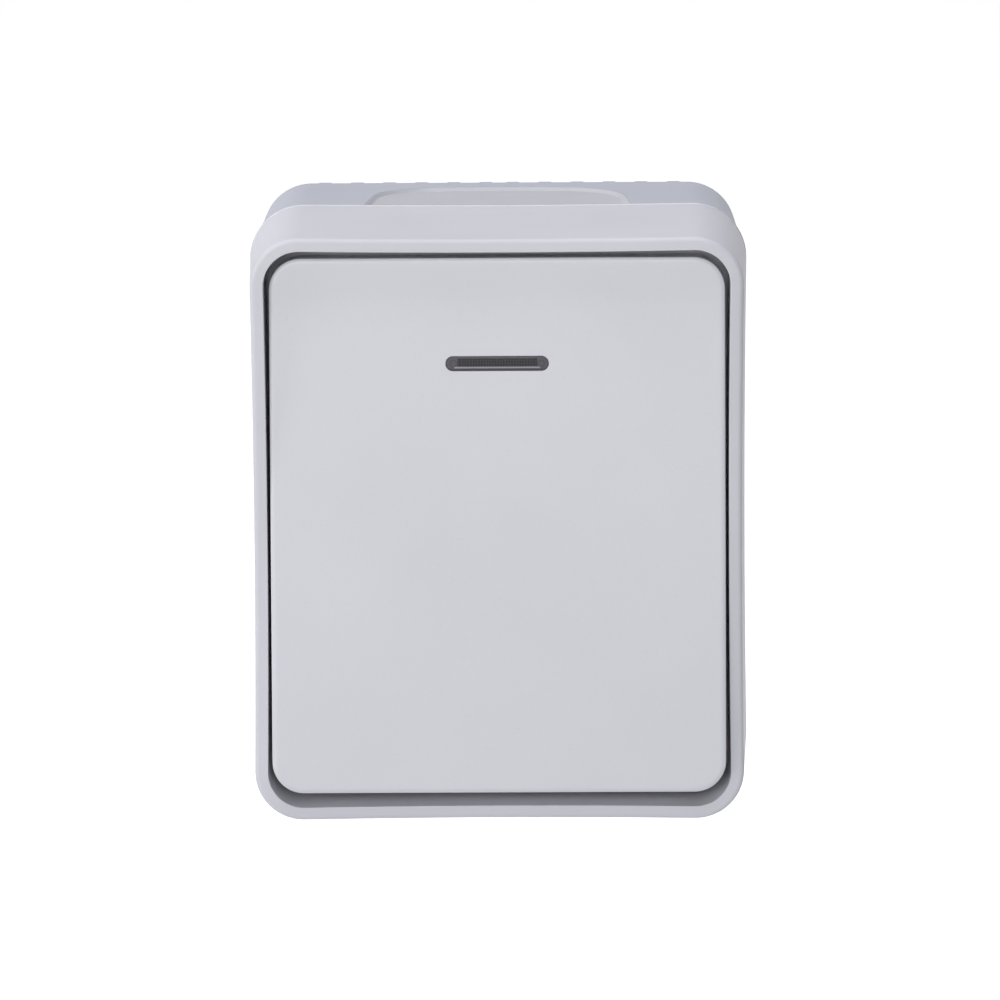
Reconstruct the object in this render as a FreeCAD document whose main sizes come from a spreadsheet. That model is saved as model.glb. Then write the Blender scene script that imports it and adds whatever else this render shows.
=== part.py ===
import FreeCAD, Part
import math
import os
import re

import Sketcher

# Outdoor surface switch with a tilting rocker. Millimetres.
# The wall is the plane y = 0 and the front faces -Y, so "out" in every formula is the distance from the
# wall towards the user. A piece that turns is drawn about its own pivot, with "out" counted from the pivot.

doc = FreeCAD.newDocument("surface_switch")
sheet = doc.addObject("Spreadsheet::Sheet", "Sizes")

driving_sizes = {
    # front frame
    "front_out": 54.0,
    "frame_wide": 70.0,
    "frame_tall": 84.2,
    "frame_corner": 6.9,
    "frame_deep": 28.0,
    "frame_draft": 2.1,
    "frame_round": 1.3,
    "side_pinch": 0.27,
    "end_pinch": 0.22,
    "rim_wide": 1.87,
    "rim_corner": 5.05,
    "opening_draft": 0.5,
    "opening_round": 0.25,
    "skirt_wall": 1.7,
    "ledge_wide": 1.6,
    "well_deep": 11.0,
    "well_floor": 1.6,
    "well_root": 0.6,
    "collar_high": 0.9,
    "collar_wall": 1.2,
    # rear box
    "box_step": 0.35,
    "box_lean_side": 0.677,
    "box_lean_end": 0.027,
    "box_corner": 7.2,
    "shoulder_round": 0.4,
    "box_floor": 2.4,
    "upstand_high": 7.0,
    "upstand_wall": 1.6,
    "upstand_gap": 0.35,
    "upstand_corner": 5.6,
    "panel_step": 0.9,
    "panel_inset": 2.0,
    "foot_wide": 1.9,
    "foot_long": 1.5,
    "foot_pitch": 4.76,
    "foot_middle": 4.0,
    "foot_inset": 0.02,
    "hook_reach": 1.0,
    "hook_long": 8.0,
    "hook_from_middle": 14.0,
    "hook_from_edge": 1.0,
    "hook_high": 3.6,
    "hook_ramp": 1.6,
    "hook_crest": 2.7,
    "hook_root": 0.4,
    "hook_play": 0.5,
    "wall_hole": 2.2,
    "wall_hole_inset": 8.0,
    "wall_hole_from_end": 9.75,
    "wall_boss": 4.2,
    "wall_boss_high": 2.0,
    "post_round": 3.5,
    # cable entries
    "entry_wide": 39.4,
    "entry_narrow": 37.0,
    "entry_corner": 10.0,
    "entry_corner_out": 16.0,
    "entry_bow": 100.0,
    "entry_seat": 1.7,
    "entry_sunk": 0.05,
    "entry_fit": 0.05,
    "entry_over": 1.0,
    "entry_trim": 4.0,
    "entry_dish": 1.2,
    "entry_rim": 0.5,
    "entry_slope": 2.6,
    "hatch_wide": 26.0,
    "hatch_high": 13.0,
    "hatch_corner": 3.0,
    "hatch_out": 14.6,
    "entry_lip": 1.2,
    "nipple_round": 5.4,
    "nipple_wall": 0.9,
    "nipple_long": 3.6,
    # seals
    "gasket_thick": 1.5,
    "seal_wall": 1.6,
    "seal_gap": 0.6,
    # strap and mechanism
    "strap_out": 38.0,
    "strap_thick": 1.2,
    "strap_gap_side": 2.85,
    "strap_gap_end": 5.0,
    "strap_corner": 4.0,
    "strap_screw_edge": 4.0,
    "strap_hole_play": 0.3,
    "strap_slot_extra": 2.0,
    "block_wide": 45.0,
    "block_out": 20.0,
    "block_floor": 2.8,
    "block_corner": 2.0,
    "block_gap": 0.3,
    "flange_reach": 2.0,
    "flange_thick": 1.8,
    "cover_wide": 47.2,
    "cover_thick": 1.5,
    "cover_rim": 0.9,
    "cover_round": 0.8,
    "window_gap": 0.6,
    "chamber_wide": 14.0,
    "chamber_tall": 31.0,
    "cell_from_middle": 16.0,
    "cell_wide": 9.0,
    "channel_play": 0.4,
    "wire_hole": 1.7,
    "strip_thick": 0.8,
    "strip_wide": 3.0,
    "strip_gap_side": 0.3,
    "strip_gap_end": 0.4,
    "rivet_thick": 0.6,
    "neutral_high": 12.0,
    "clamp_wide": 7.0,
    "clamp_long": 6.0,
    "clamp_high": 8.0,
    "clamp_wall": 1.0,
    "clamp_cover": 1.0,
    "head_gap": 0.4,
    "screw_head": 2.2,
    "screw_head_high": 2.0,
    "screw_shank": 1.5,
    "screw_slot": 0.7,
    "screw_slot_deep": 0.9,
    "screw_lift": 1.0,
    "terminal_screw_long": 4.5,
    "screw_play": 0.05,
    "strap_screw_head": 3.0,
    "strap_screw_high": 1.9,
    "strap_screw_long": 12.0,
    "strap_screw_shank": 1.4,
    # rocker and its cradle, measured from the pivot
    "pivot_out": 45.1,
    "rest_tilt": 4.7,
    "rocker_gap_side": 0.75,
    "rocker_gap_end": 1.99,
    "rocker_corner": 4.5,
    "rocker_face": 9.4,
    "rocker_deep": 7.5,
    "rocker_cap": 2.2,
    "rocker_wall": 1.8,
    "rocker_round": 0.5,
    "rib_thick": 1.2,
    "rib_deep": 1.6,
    "rib_x": 13.0,
    "rib_z": 31.0,
    "stud_from_middle": 10.0,
    "stud_round": 2.2,
    "stud_pin": 1.1,
    "lens_wide": 14.6,
    "lens_tall": 2.05,
    "lens_up": 23.2,
    "lens_sunk": 0.05,
    "lens_fit": 0.02,
    "lens_lip": 1.3,
    "lens_lip_thick": 1.0,
    "cradle_wide": 27.8,
    "cradle_thick": 3.0,
    "cheek_thick": 2.3,
    "cheek_round": 2.0,
    "cheek_foot": 4.5,
    "pin_round": 1.1,
    "pin_play": 0.05,
    "pin_grip": 0.02,
    "pin_recess": 0.1,
    "ear_gap": 0.5,
    "ear_thick": 2.4,
    "ear_round": 2.6,
    "ear_flare": 1.0,
    "tube_round": 3.25,
    "tube_bore": 2.0,
    "tube_long": 10.5,
    "tube_roof": 1.5,
    "tube_play": 1.0,
    "tube_swing": 0.6,
    "plunger_play": 0.08,
    "plunger_reach": 14.4,
    "plunger_tip": 1.4,
    "plunger_long": 7.0,
    "spring_wire": 0.6,
    "spring_turns": 6.0,
    # contact lever, measured from its own pivot
    "lever_out": 30.0,
    "lever_tilt": 6.0,
    "lever_wide": 5.0,
    "lever_long": 20.0,
    "lever_thick": 1.2,
    "lever_corner": 0.6,
    "trunnion_round": 1.0,
    "trunnion_play": 0.05,
    "trunnion_root": 0.1,
    "trunnion_over": 0.3,
    "fork_gap": 0.35,
    "fork_thick": 0.8,
    "fork_tall": 5.2,
    "fork_above": 1.5,
    "tip_from_middle": 8.5,
    "tip_round": 1.5,
    "tip_thick": 0.8,
    "contact_gap": 0.1,
    # lamp and earth terminal
    "lamp_up": 19.5,
    "lamp_out": 45.6,
    "lamp_round": 2.0,
    "lamp_long": 10.0,
    "lamp_shoulder": 1.0,
    "lamp_play": 0.05,
    "lead_round": 0.35,
    "lead_x": 7.2,
    "lead_bend": 0.8,
    "lead_play": 0.1,
    "lead_bore_play": 0.2,
    "lead_bore_deep": 6.0,
    "lead_deep": 3.0,
    "holder_wide": 7.0,
    "holder_tall": 5.6,
    "earth_from_side": 17.3,
    "earth_from_end": 10.0,
    "earth_wide": 9.0,
    "earth_tall": 7.0,
    "earth_high": 7.0,
    "earth_bore": 1.4,
    "earth_hole_deep": 4.0,
    "earth_screw_long": 3.5,
    # how far a feature bites into its carrier, how far a cut runs past its face, and what keeps the two
    # end arcs of a slot from meeting
    "bite": 0.2,
    "cut_over": 1.0,
    "hair": 0.01,
}

for row, (alias, number) in enumerate(driving_sizes.items(), start=1):
    sheet.set("A%d" % row, alias)
    sheet.set("B%d" % row, str(number))
    sheet.setAlias("B%d" % row, alias)
doc.recompute()


def expand(formula):
    # A word that names a size is looked up in the sheet; other words, such as tan, stay as they are.
    def lookup(match):
        word = match.group(0)
        return "Sizes." + word if word in driving_sizes else word
    return re.sub(r"[A-Za-z_]+", lookup, formula)


def value(formula):
    answer = sheet.evalExpression(expand(formula))
    return float(getattr(answer, "Value", answer))


def bind(thing, prop, formula):
    thing.setExpression(prop, expand(formula))


# Sizes that several pieces share, written once as formulas.
box_out = "(front_out - frame_deep)"
upstand_tip = "(front_out - frame_deep + upstand_high)"
well_front = "(front_out - well_deep)"
well_rear = "(front_out - well_deep - well_floor)"
flare = "((front_out - %s) * tan(frame_draft))"
skirt_at_tip = flare % upstand_tip
upstand_wide = "(frame_wide + 2 * %s - 2 * skirt_wall - 2 * side_pinch - 2 * upstand_gap)" % skirt_at_tip
upstand_tall = "(frame_tall + 2 * %s - 2 * skirt_wall - 2 * end_pinch - 2 * upstand_gap)" % skirt_at_tip
box_front_wide = "(frame_wide + 2 * frame_deep * tan(frame_draft) - 2 * box_step)"
box_front_tall = "(frame_tall + 2 * frame_deep * tan(frame_draft) - 2 * box_step)"
box_rear_wide = "(%s - 2 * box_lean_side)" % box_front_wide
box_rear_tall = "(%s - 2 * box_lean_end)" % box_front_tall
cavity_wide = "(%s - 2 * upstand_wall)" % upstand_wide
cavity_tall = "(%s - 2 * upstand_wall)" % upstand_tall
strap_front = "(strap_out + strap_thick)"
strap_wide = "(%s - 2 * strap_gap_side)" % cavity_wide
strap_tall = "(%s - 2 * strap_gap_end)" % cavity_tall
post_up = "(%s / 2 - strap_screw_edge)" % strap_tall
earth_across = "(%s / 2 - earth_from_side)" % cavity_wide
earth_up = "(earth_from_end - %s / 2)" % cavity_tall
rocker_wide = "(frame_wide - 2 * rim_wide - 2 * rocker_gap_side)"
rocker_tall = "(frame_tall - 2 * rim_wide - 2 * rocker_gap_end)"
cover_front = "(%s + cover_thick)" % well_rear
chamber_floor = "(block_out + block_floor)"
strip_front = "(%s + strip_thick)" % chamber_floor
cradle_front = "(rocker_face - rocker_deep + cradle_thick)"
cradle_rear = "(rocker_face - rocker_deep)"
hook_rear = "(%s + hook_from_edge)" % box_out


def new_body(name):
    body = doc.addObject("PartDesign::Body", name)
    body.Label = name
    return body


def origin_plane(body, role):
    for feature in body.Origin.OriginFeatures:
        if feature.Role == role:
            return feature
    raise ValueError("no plane " + role)


def new_sketch(body, name, plane, offset):
    # XZ sketches face the user, so their offset is the distance out from the wall or pivot.
    sketch = body.newObject("Sketcher::SketchObject", name)
    sketch.AttachmentSupport = (origin_plane(body, plane), [""])
    sketch.MapMode = "FlatFace"
    bind(sketch, ".AttachmentOffset.Base.z", offset)
    return sketch


def hold_point(sketch, geometry, end, across, up):
    # Ties one point of the sketch to formulas for its two coordinates.
    for kind, axis, formula in (("DistanceX", -2, across), ("DistanceY", -1, up)):
        if formula == "0":
            sketch.addConstraint(Sketcher.Constraint("PointOnObject", geometry, end, axis))
            continue
        rule = Sketcher.Constraint(kind, -1, 1, geometry, end, value(formula))
        number = sketch.addConstraint(rule)
        name = "%s%d" % (kind.lower(), number)
        sketch.renameConstraint(number, name)
        bind(sketch, "Constraints." + name, formula)


def hold_size(sketch, kind, geometry, formula):
    number = sketch.addConstraint(Sketcher.Constraint(kind, geometry, value(formula)))
    name = "%s%d" % (kind.lower(), number)
    sketch.renameConstraint(number, name)
    bind(sketch, "Constraints." + name, formula)


def polygon(sketch, corners):
    spots = [FreeCAD.Vector(value(across), value(up), 0) for across, up in corners]
    first = sketch.GeometryCount
    count = len(spots)
    for i in range(count):
        sketch.addGeometry(Part.LineSegment(spots[i], spots[(i + 1) % count]), False)
    for i in range(count):
        follower = first + (i + 1) % count
        sketch.addConstraint(Sketcher.Constraint("Coincident", first + i, 2, follower, 1))
    for i, (across, up) in enumerate(corners):
        hold_point(sketch, first + i, 1, across, up)


def rectangle(sketch, wide, tall, across="0", up="0"):
    wide, tall = "(%s)" % wide, "(%s)" % tall
    left = "%s - %s / 2" % (across, wide)
    right = "%s + %s / 2" % (across, wide)
    low = "%s - %s / 2" % (up, tall)
    high = "%s + %s / 2" % (up, tall)
    polygon(sketch, [(left, low), (right, low), (right, high), (left, high)])


def circle(sketch, radius, across="0", up="0"):
    centre = FreeCAD.Vector(value(across), value(up), 0)
    number = sketch.GeometryCount
    sketch.addGeometry(Part.Circle(centre, FreeCAD.Vector(0, 0, 1), value(radius)), False)
    hold_point(sketch, number, 3, across, up)
    hold_size(sketch, "Radius", number, radius)


def arc_through(centre, radius, start, sweep):
    # An arc from start, in degrees, that turns counterclockwise by sweep.
    full = Part.Circle(FreeCAD.Vector(centre[0], centre[1], 0), FreeCAD.Vector(0, 0, 1), radius)
    return Part.ArcOfCircle(full, math.radians(start), math.radians(start + sweep))


def rounded_rectangle(sketch, wide, tall, corner, across="0", up="0"):
    # Four straight sides and four quarter arcs, joined tangentially.
    wide, tall, corner = "(%s)" % wide, "(%s)" % tall, "(%s)" % corner
    x, z = value(across), value(up)
    half_wide, half_tall, radius = value(wide) / 2, value(tall) / 2, value(corner)
    inner_wide, inner_tall = half_wide - radius, half_tall - radius
    signs = [(1, -1), (1, 1), (-1, 1), (-1, -1)]
    arcs = []
    for i, (sx, sz) in enumerate(signs):
        centre = (x + sx * inner_wide, z + sz * inner_tall)
        arcs.append(arc_through(centre, radius, 270 + 90 * i, 90))
    first = sketch.GeometryCount
    for i in range(4):
        sketch.addGeometry(arcs[i], False)
        start = arcs[i].EndPoint
        finish = arcs[(i + 1) % 4].StartPoint
        sketch.addGeometry(Part.LineSegment(start, finish), False)
    for i in range(8):
        follower = first + (i + 1) % 8
        sketch.addConstraint(Sketcher.Constraint("Tangent", first + i, 2, follower, 1))
    for i in range(4):
        level = "Vertical" if i % 2 == 0 else "Horizontal"
        sketch.addConstraint(Sketcher.Constraint(level, first + 2 * i + 1))
    for i in range(1, 4):
        sketch.addConstraint(Sketcher.Constraint("Equal", first, first + 2 * i))
    hold_size(sketch, "Radius", first, corner)
    for i in (0, 2):
        sx, sz = signs[i]
        centre_x = "%s + %d * (%s / 2 - %s)" % (across, sx, wide, corner)
        centre_z = "%s + %d * (%s / 2 - %s)" % (up, sz, tall, corner)
        hold_point(sketch, first + 2 * i, 3, centre_x, centre_z)


def pinched_outline(sketch, wide, tall, corner, inset="0"):
    # A rounded rectangle whose four sides are shallow arcs that bow inwards between the corners.
    # For a dip p over a half side b, the arc's radius and the corner's add up to (p*p + b*b) / (2*p).
    wide = "((%s) - 2 * (%s))" % (wide, inset)
    tall = "((%s) - 2 * (%s))" % (tall, inset)
    corner = "(%s)" % corner
    half_wide, half_tall, radius = value(wide) / 2, value(tall) / 2, value(corner)
    inner_wide, inner_tall = half_wide - radius, half_tall - radius
    side_sum = "((side_pinch^2 + (%s / 2 - %s)^2) / (2 * side_pinch))" % (tall, corner)
    end_sum = "((end_pinch^2 + (%s / 2 - %s)^2) / (2 * end_pinch))" % (wide, corner)
    side_lean = math.degrees(math.asin(inner_tall / value(side_sum)))
    end_lean = math.degrees(math.asin(inner_wide / value(end_sum)))
    side_radius = value(side_sum) - radius
    end_radius = value(end_sum) - radius
    side_centre = half_wide - value("side_pinch") + side_radius
    end_centre = half_tall - value("end_pinch") + end_radius
    first = sketch.GeometryCount
    signs = [(1, -1), (1, 1), (-1, 1), (-1, -1)]
    bows = [
        arc_through((side_centre, 0), side_radius, 180 - side_lean, 2 * side_lean),
        arc_through((0, end_centre), end_radius, 270 - end_lean, 2 * end_lean),
        arc_through((-side_centre, 0), side_radius, -side_lean, 2 * side_lean),
        arc_through((0, -end_centre), end_radius, 90 - end_lean, 2 * end_lean),
    ]
    for i, (sx, sz) in enumerate(signs):
        lean_before = end_lean if i % 2 == 0 else side_lean
        lean_after = side_lean if i % 2 == 0 else end_lean
        centre = (sx * inner_wide, sz * inner_tall)
        start = 270 + 90 * i - lean_before
        sketch.addGeometry(arc_through(centre, radius, start, 90 + lean_before + lean_after), False)
        sketch.addGeometry(bows[i], False)
    for i in range(4):
        corner_arc, bow = first + 2 * i, first + 2 * i + 1
        next_corner = first + (2 * i + 2) % 8
        # A bow runs clockwise along the outline, so its end meets the corner before it.
        sketch.addConstraint(Sketcher.Constraint("Tangent", corner_arc, 2, bow, 2))
        sketch.addConstraint(Sketcher.Constraint("Tangent", bow, 1, next_corner, 1))
    for i in range(4):
        bow = first + 2 * i + 1
        if i % 2 == 0:
            sign = 1 if i == 0 else -1
            centre = "%d * (%s / 2 - side_pinch + %s - %s)" % (sign, wide, side_sum, corner)
            hold_point(sketch, bow, 3, centre, "0")
        else:
            sign = 1 if i == 1 else -1
            centre = "%d * (%s / 2 - end_pinch + %s - %s)" % (sign, tall, end_sum, corner)
            hold_point(sketch, bow, 3, "0", centre)
        hold_size(sketch, "Radius", bow, "%s - %s" % (side_sum if i % 2 == 0 else end_sum, corner))
    for i in range(4):
        hold_size(sketch, "Radius", first + 2 * i, corner)


def pad(body, sketch, name, length, draft="0", towards_wall=False, midplane=False):
    feature = body.newObject("PartDesign::Pad", name)
    feature.Profile = sketch
    bind(feature, "Length", length)
    if draft != "0":
        bind(feature, "TaperAngle", draft)
    feature.Reversed = towards_wall
    feature.Midplane = midplane
    return feature


def pocket(body, sketch, name, depth, draft="0", away_from_wall=False, midplane=False):
    feature = body.newObject("PartDesign::Pocket", name)
    feature.Profile = sketch
    bind(feature, "Length", depth)
    if draft != "0":
        bind(feature, "TaperAngle", draft)
    feature.Reversed = away_from_wall
    feature.Midplane = midplane
    return feature


def mirrored(body, features, name, plane):
    feature = body.newObject("PartDesign::Mirrored", name)
    feature.Originals = features
    feature.MirrorPlane = (origin_plane(body, plane), [""])
    body.Tip = feature
    return feature


def edges_where(feature, wanted):
    # Names of the edges whose middle and both ends all satisfy the test.
    names = []
    for number, edge in enumerate(feature.Shape.Edges, start=1):
        low, high = edge.ParameterRange
        spots = [edge.valueAt(low + (high - low) * share) for share in (0.0, 0.5, 1.0)]
        if all(wanted(spot) for spot in spots):
            names.append("Edge%d" % number)
    return names


def fillet(body, base, name, radius, wanted):
    doc.recompute()
    feature = body.newObject("PartDesign::Fillet", name)
    feature.Base = (base, edges_where(base, wanted))
    bind(feature, "Radius", radius)
    return feature


def near(left, right):
    return abs(left - right) < 0.001


def layer(body, name, out, thick, draw):
    # A flat plate, thick in the out direction, whose outline is drawn by the function handed in.
    sketch = new_sketch(body, name + "_outline", "XZ_Plane", out)
    draw(sketch)
    return pad(body, sketch, name, thick)


def hollow(body, name, out, depth, draw):
    # A recess that starts at out and runs towards the wall.
    sketch = new_sketch(body, name + "_outline", "XZ_Plane", out)
    draw(sketch)
    return pocket(body, sketch, name, depth)


corners_of_square = [(1, 1), (-1, 1), (-1, -1), (1, -1)]


# Front frame: a drafted tube with pinched sides, a deep well for the rocker and a skirt over the box.
def make_front_frame():
    body = new_body("front_frame")
    outline = new_sketch(body, "frame_outline", "XZ_Plane", "front_out")
    pinched_outline(outline, "frame_wide", "frame_tall", "frame_corner")
    tube = pad(body, outline, "frame_tube", "frame_deep", "frame_draft", towards_wall=True)
    front = -value("front_out")
    tube = fillet(body, tube, "frame_edge", "frame_round", lambda spot: near(spot.y, front))
    opening = new_sketch(body, "well_outline", "XZ_Plane", "front_out")
    pinched_outline(opening, "frame_wide", "frame_tall", "rim_corner", "rim_wide")
    well = pocket(body, opening, "rocker_well", "well_deep", "-opening_draft")
    rim = value("frame_wide / 2 - rim_wide + opening_round")
    rim_up = value("frame_tall / 2 - rim_wide + opening_round")
    well = fillet(body, well, "opening_edge", "opening_round", lambda spot: near(spot.y, front)
                  and abs(spot.x) < rim and abs(spot.z) < rim_up)
    floor = -value(well_front)
    fillet(body, well, "well_corner", "well_root", lambda spot: near(spot.y, floor))
    skirt = new_sketch(body, "skirt_outline", "XZ_Plane", box_out)
    skirt_wide = "(frame_wide + 2 * frame_deep * tan(frame_draft))"
    skirt_tall = "(frame_tall + 2 * frame_deep * tan(frame_draft))"
    pinched_outline(skirt, skirt_wide, skirt_tall, "frame_corner", "skirt_wall")
    skirt_deep = "upstand_high + gasket_thick"
    pocket(body, skirt, "skirt_hollow", skirt_deep, "-frame_draft", away_from_wall=True)
    ledge_out = "(%s + gasket_thick)" % upstand_tip
    ledge = new_sketch(body, "ledge_outline", "XZ_Plane", ledge_out)
    ledge_inset = "skirt_wall + ledge_wide"
    at_ledge = "2 * (front_out - %s) * tan(frame_draft)" % ledge_out
    pinched_outline(ledge, "(frame_wide + %s)" % at_ledge, "(frame_tall + %s)" % at_ledge,
                    "rim_corner", ledge_inset)
    ledge_deep = "%s - %s" % (well_rear, ledge_out)
    pocket(body, ledge, "ledge_hollow", ledge_deep, "-frame_draft", away_from_wall=True)
    window = "(cover_wide + 2 * window_gap)"
    collar_wide = "(%s + 2 * collar_wall)" % window
    layer(body, "collar", well_front, "collar_high",
          lambda sketch: rounded_rectangle(sketch, collar_wide, collar_wide, "block_corner + collar_wall"))
    hollow(body, "floor_window", "%s + collar_high" % well_front, "well_floor + collar_high",
           lambda sketch: rounded_rectangle(sketch, window, window, "block_corner"))
    # The hooks are wedges on the skirt's inner side walls, an upper and a lower pair.
    wall = "(frame_wide / 2 + %s - skirt_wall)" % skirt_at_tip
    tip = "(%s - side_pinch - hook_reach)" % wall
    for name, start, downwards in (("upper", "hook_from_middle", False),
                                   ("lower", "-hook_from_middle", True)):
        hook = new_sketch(body, name + "_hook_profile", "XY_Plane", start)
        polygon(hook, [
            ("(%s + hook_root)" % wall, "(-%s)" % hook_rear),
            (tip, "(-%s - hook_ramp)" % hook_rear),
            (tip, "(-%s - hook_crest)" % hook_rear),
            ("(%s + hook_root)" % wall, "(-%s - hook_high)" % hook_rear),
        ])
        right = pad(body, hook, name + "_right_hook", "hook_long", towards_wall=downwards)
        mirrored(body, [right], name + "_left_hook", "YZ_Plane")
        doc.recompute()
    return body


# Cable entry outline: straight sides that lean in, two large corners and a gently bowed rear edge.
def entry_outline(sketch, inset):
    half_front = "(entry_wide / 2 - %s)" % inset
    front = "(-%s - entry_over)" % box_out
    corner_x = "(entry_narrow / 2 - entry_corner)"
    corner_up = "(-entry_corner_out)"
    corner = "(entry_corner - %s)" % inset
    bow = "(entry_bow - %s)" % inset
    foot = (value(half_front), value(front))
    centre = (value(corner_x), value(corner_up))
    radius, bow_radius = value(corner), value(bow)
    away = math.hypot(foot[0] - centre[0], foot[1] - centre[1])
    foot_angle = math.degrees(math.atan2(foot[1] - centre[1], foot[0] - centre[0]))
    start = foot_angle + math.degrees(math.acos(radius / away))
    bow_drop = math.sqrt((bow_radius - radius) ** 2 - centre[0] ** 2)
    finish = math.degrees(math.atan2(bow_drop, centre[0]))
    right = arc_through(centre, radius, start, finish - start)
    rear = arc_through((0, centre[1] - bow_drop), bow_radius, finish, 180 - 2 * finish)
    left = arc_through((-centre[0], centre[1]), radius, 180 - finish, finish - start)
    ends = [FreeCAD.Vector(-foot[0], foot[1], 0), FreeCAD.Vector(foot[0], foot[1], 0)]
    sketch.addGeometry(Part.LineSegment(ends[0], ends[1]), False)
    sketch.addGeometry(Part.LineSegment(ends[1], right.StartPoint), False)
    sketch.addGeometry(right, False)
    sketch.addGeometry(rear, False)
    sketch.addGeometry(left, False)
    sketch.addGeometry(Part.LineSegment(left.EndPoint, ends[0]), False)
    sketch.addConstraint(Sketcher.Constraint("Coincident", 0, 2, 1, 1))
    for i in range(1, 5):
        sketch.addConstraint(Sketcher.Constraint("Tangent", i, 2, i + 1, 1))
    sketch.addConstraint(Sketcher.Constraint("Coincident", 5, 2, 0, 1))
    hold_point(sketch, 0, 1, "-" + half_front, front)
    hold_point(sketch, 0, 2, half_front, front)
    hold_point(sketch, 2, 3, corner_x, corner_up)
    hold_point(sketch, 4, 3, "-" + corner_x, corner_up)
    hold_size(sketch, "Radius", 2, corner)
    hold_size(sketch, "Radius", 4, corner)
    hold_size(sketch, "Radius", 3, bow)


# Rear box: a shell with a shoulder for the frame, an upstand inside the frame's skirt, posts for the
# strap, bosses for the wall screws, and small feet along the rear edges.
def make_rear_box():
    body = new_body("rear_box")
    rear = new_sketch(body, "rear_outline", "XZ_Plane", "panel_step")
    rounded_rectangle(rear, box_rear_wide, box_rear_tall, "box_corner")
    shoulder = new_sketch(body, "shoulder_outline", "XZ_Plane", box_out)
    rounded_rectangle(shoulder, box_front_wide, box_front_tall, "(box_corner + box_step)")
    shell = body.newObject("PartDesign::AdditiveLoft", "shell")
    shell.Profile = rear
    shell.Sections = [shoulder]
    shell.Ruled = True
    doc.recompute()
    front = -value(box_out)
    fillet(body, shell, "shoulder_edge", "shoulder_round", lambda spot: near(spot.y, front))
    layer(body, "rear_panel", "0", "panel_step", lambda sketch: rounded_rectangle(
        sketch, "(%s - 2 * panel_inset)" % box_rear_wide, "(%s - 2 * panel_inset)" % box_rear_tall,
        "(box_corner - panel_inset)"))
    feet = new_sketch(body, "feet_outline", "XZ_Plane", "0")
    foot_up = "(%s / 2 - foot_long / 2 - foot_inset)" % box_rear_tall
    for side in (1, -1):
        for step in range(6):
            across = "(%d * (foot_middle / 2 + %d * foot_pitch))" % (side, step)
            rectangle(feet, "foot_wide", "foot_long", across, foot_up)
    upper_feet = pad(body, feet, "feet", "panel_step")
    mirrored(body, [upper_feet], "lower_feet", "XY_Plane")
    layer(body, "upstand", box_out, "upstand_high",
          lambda sketch: rounded_rectangle(sketch, upstand_wide, upstand_tall, "upstand_corner"))
    hollow(body, "cavity", upstand_tip, "%s - box_floor" % upstand_tip,
           lambda sketch: rounded_rectangle(sketch, cavity_wide, cavity_tall,
                                            "(upstand_corner - upstand_wall)"))

    def post_circles(sketch, radius):
        for side in (1, -1):
            circle(sketch, radius, "0", "(%d * %s)" % (side, post_up))

    def wall_circles(sketch, radius):
        for sx, sz in corners_of_square:
            circle(sketch, radius, "(%d * (%s / 2 - wall_hole_inset))" % (sx, box_rear_wide),
                   "(%d * (%s / 2 - wall_hole_from_end))" % (sz, box_rear_tall))

    layer(body, "posts", "box_floor", "strap_out - box_floor",
          lambda sketch: post_circles(sketch, "post_round"))
    layer(body, "wall_bosses", "box_floor", "wall_boss_high",
          lambda sketch: wall_circles(sketch, "wall_boss"))
    hollow(body, "post_bores", "strap_out", "strap_screw_long",
           lambda sketch: post_circles(sketch, "(strap_screw_shank + screw_play)"))
    hollow(body, "wall_holes", "(box_floor + wall_boss_high)", "box_floor + wall_boss_high",
           lambda sketch: wall_circles(sketch, "wall_hole"))
    gap = new_sketch(body, "hook_gap", "YZ_Plane", "0")
    rectangle(gap, "(hook_high + 2 * hook_play)", "(hook_long + 2 * hook_play)",
              "(-%s - hook_high / 2)" % hook_rear, "(hook_from_middle + hook_long / 2)")
    upper_gaps = pocket(body, gap, "hook_gaps", "2 * frame_wide", midplane=True)
    mirrored(body, [upper_gaps], "lower_hook_gaps", "XY_Plane")
    seat = new_sketch(body, "entry_seat_outline", "XY_Plane", "(%s / 2 + cut_over)" % box_front_tall)
    entry_outline(seat, "0")
    upper_seat = pocket(body, seat, "entry_hollow", "entry_seat + cut_over")
    hatch = new_sketch(body, "hatch_outline", "XY_Plane", "(%s / 2)" % box_front_tall)
    rounded_rectangle(hatch, "hatch_wide", "hatch_high", "hatch_corner", "0", "(-hatch_out)")
    upper_hatch = pocket(body, hatch, "hatch", "(%s - %s) / 2 + cut_over" % (box_front_tall, cavity_tall))
    mirrored(body, [upper_seat, upper_hatch], "lower_entry", "XY_Plane")
    return body


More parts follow.
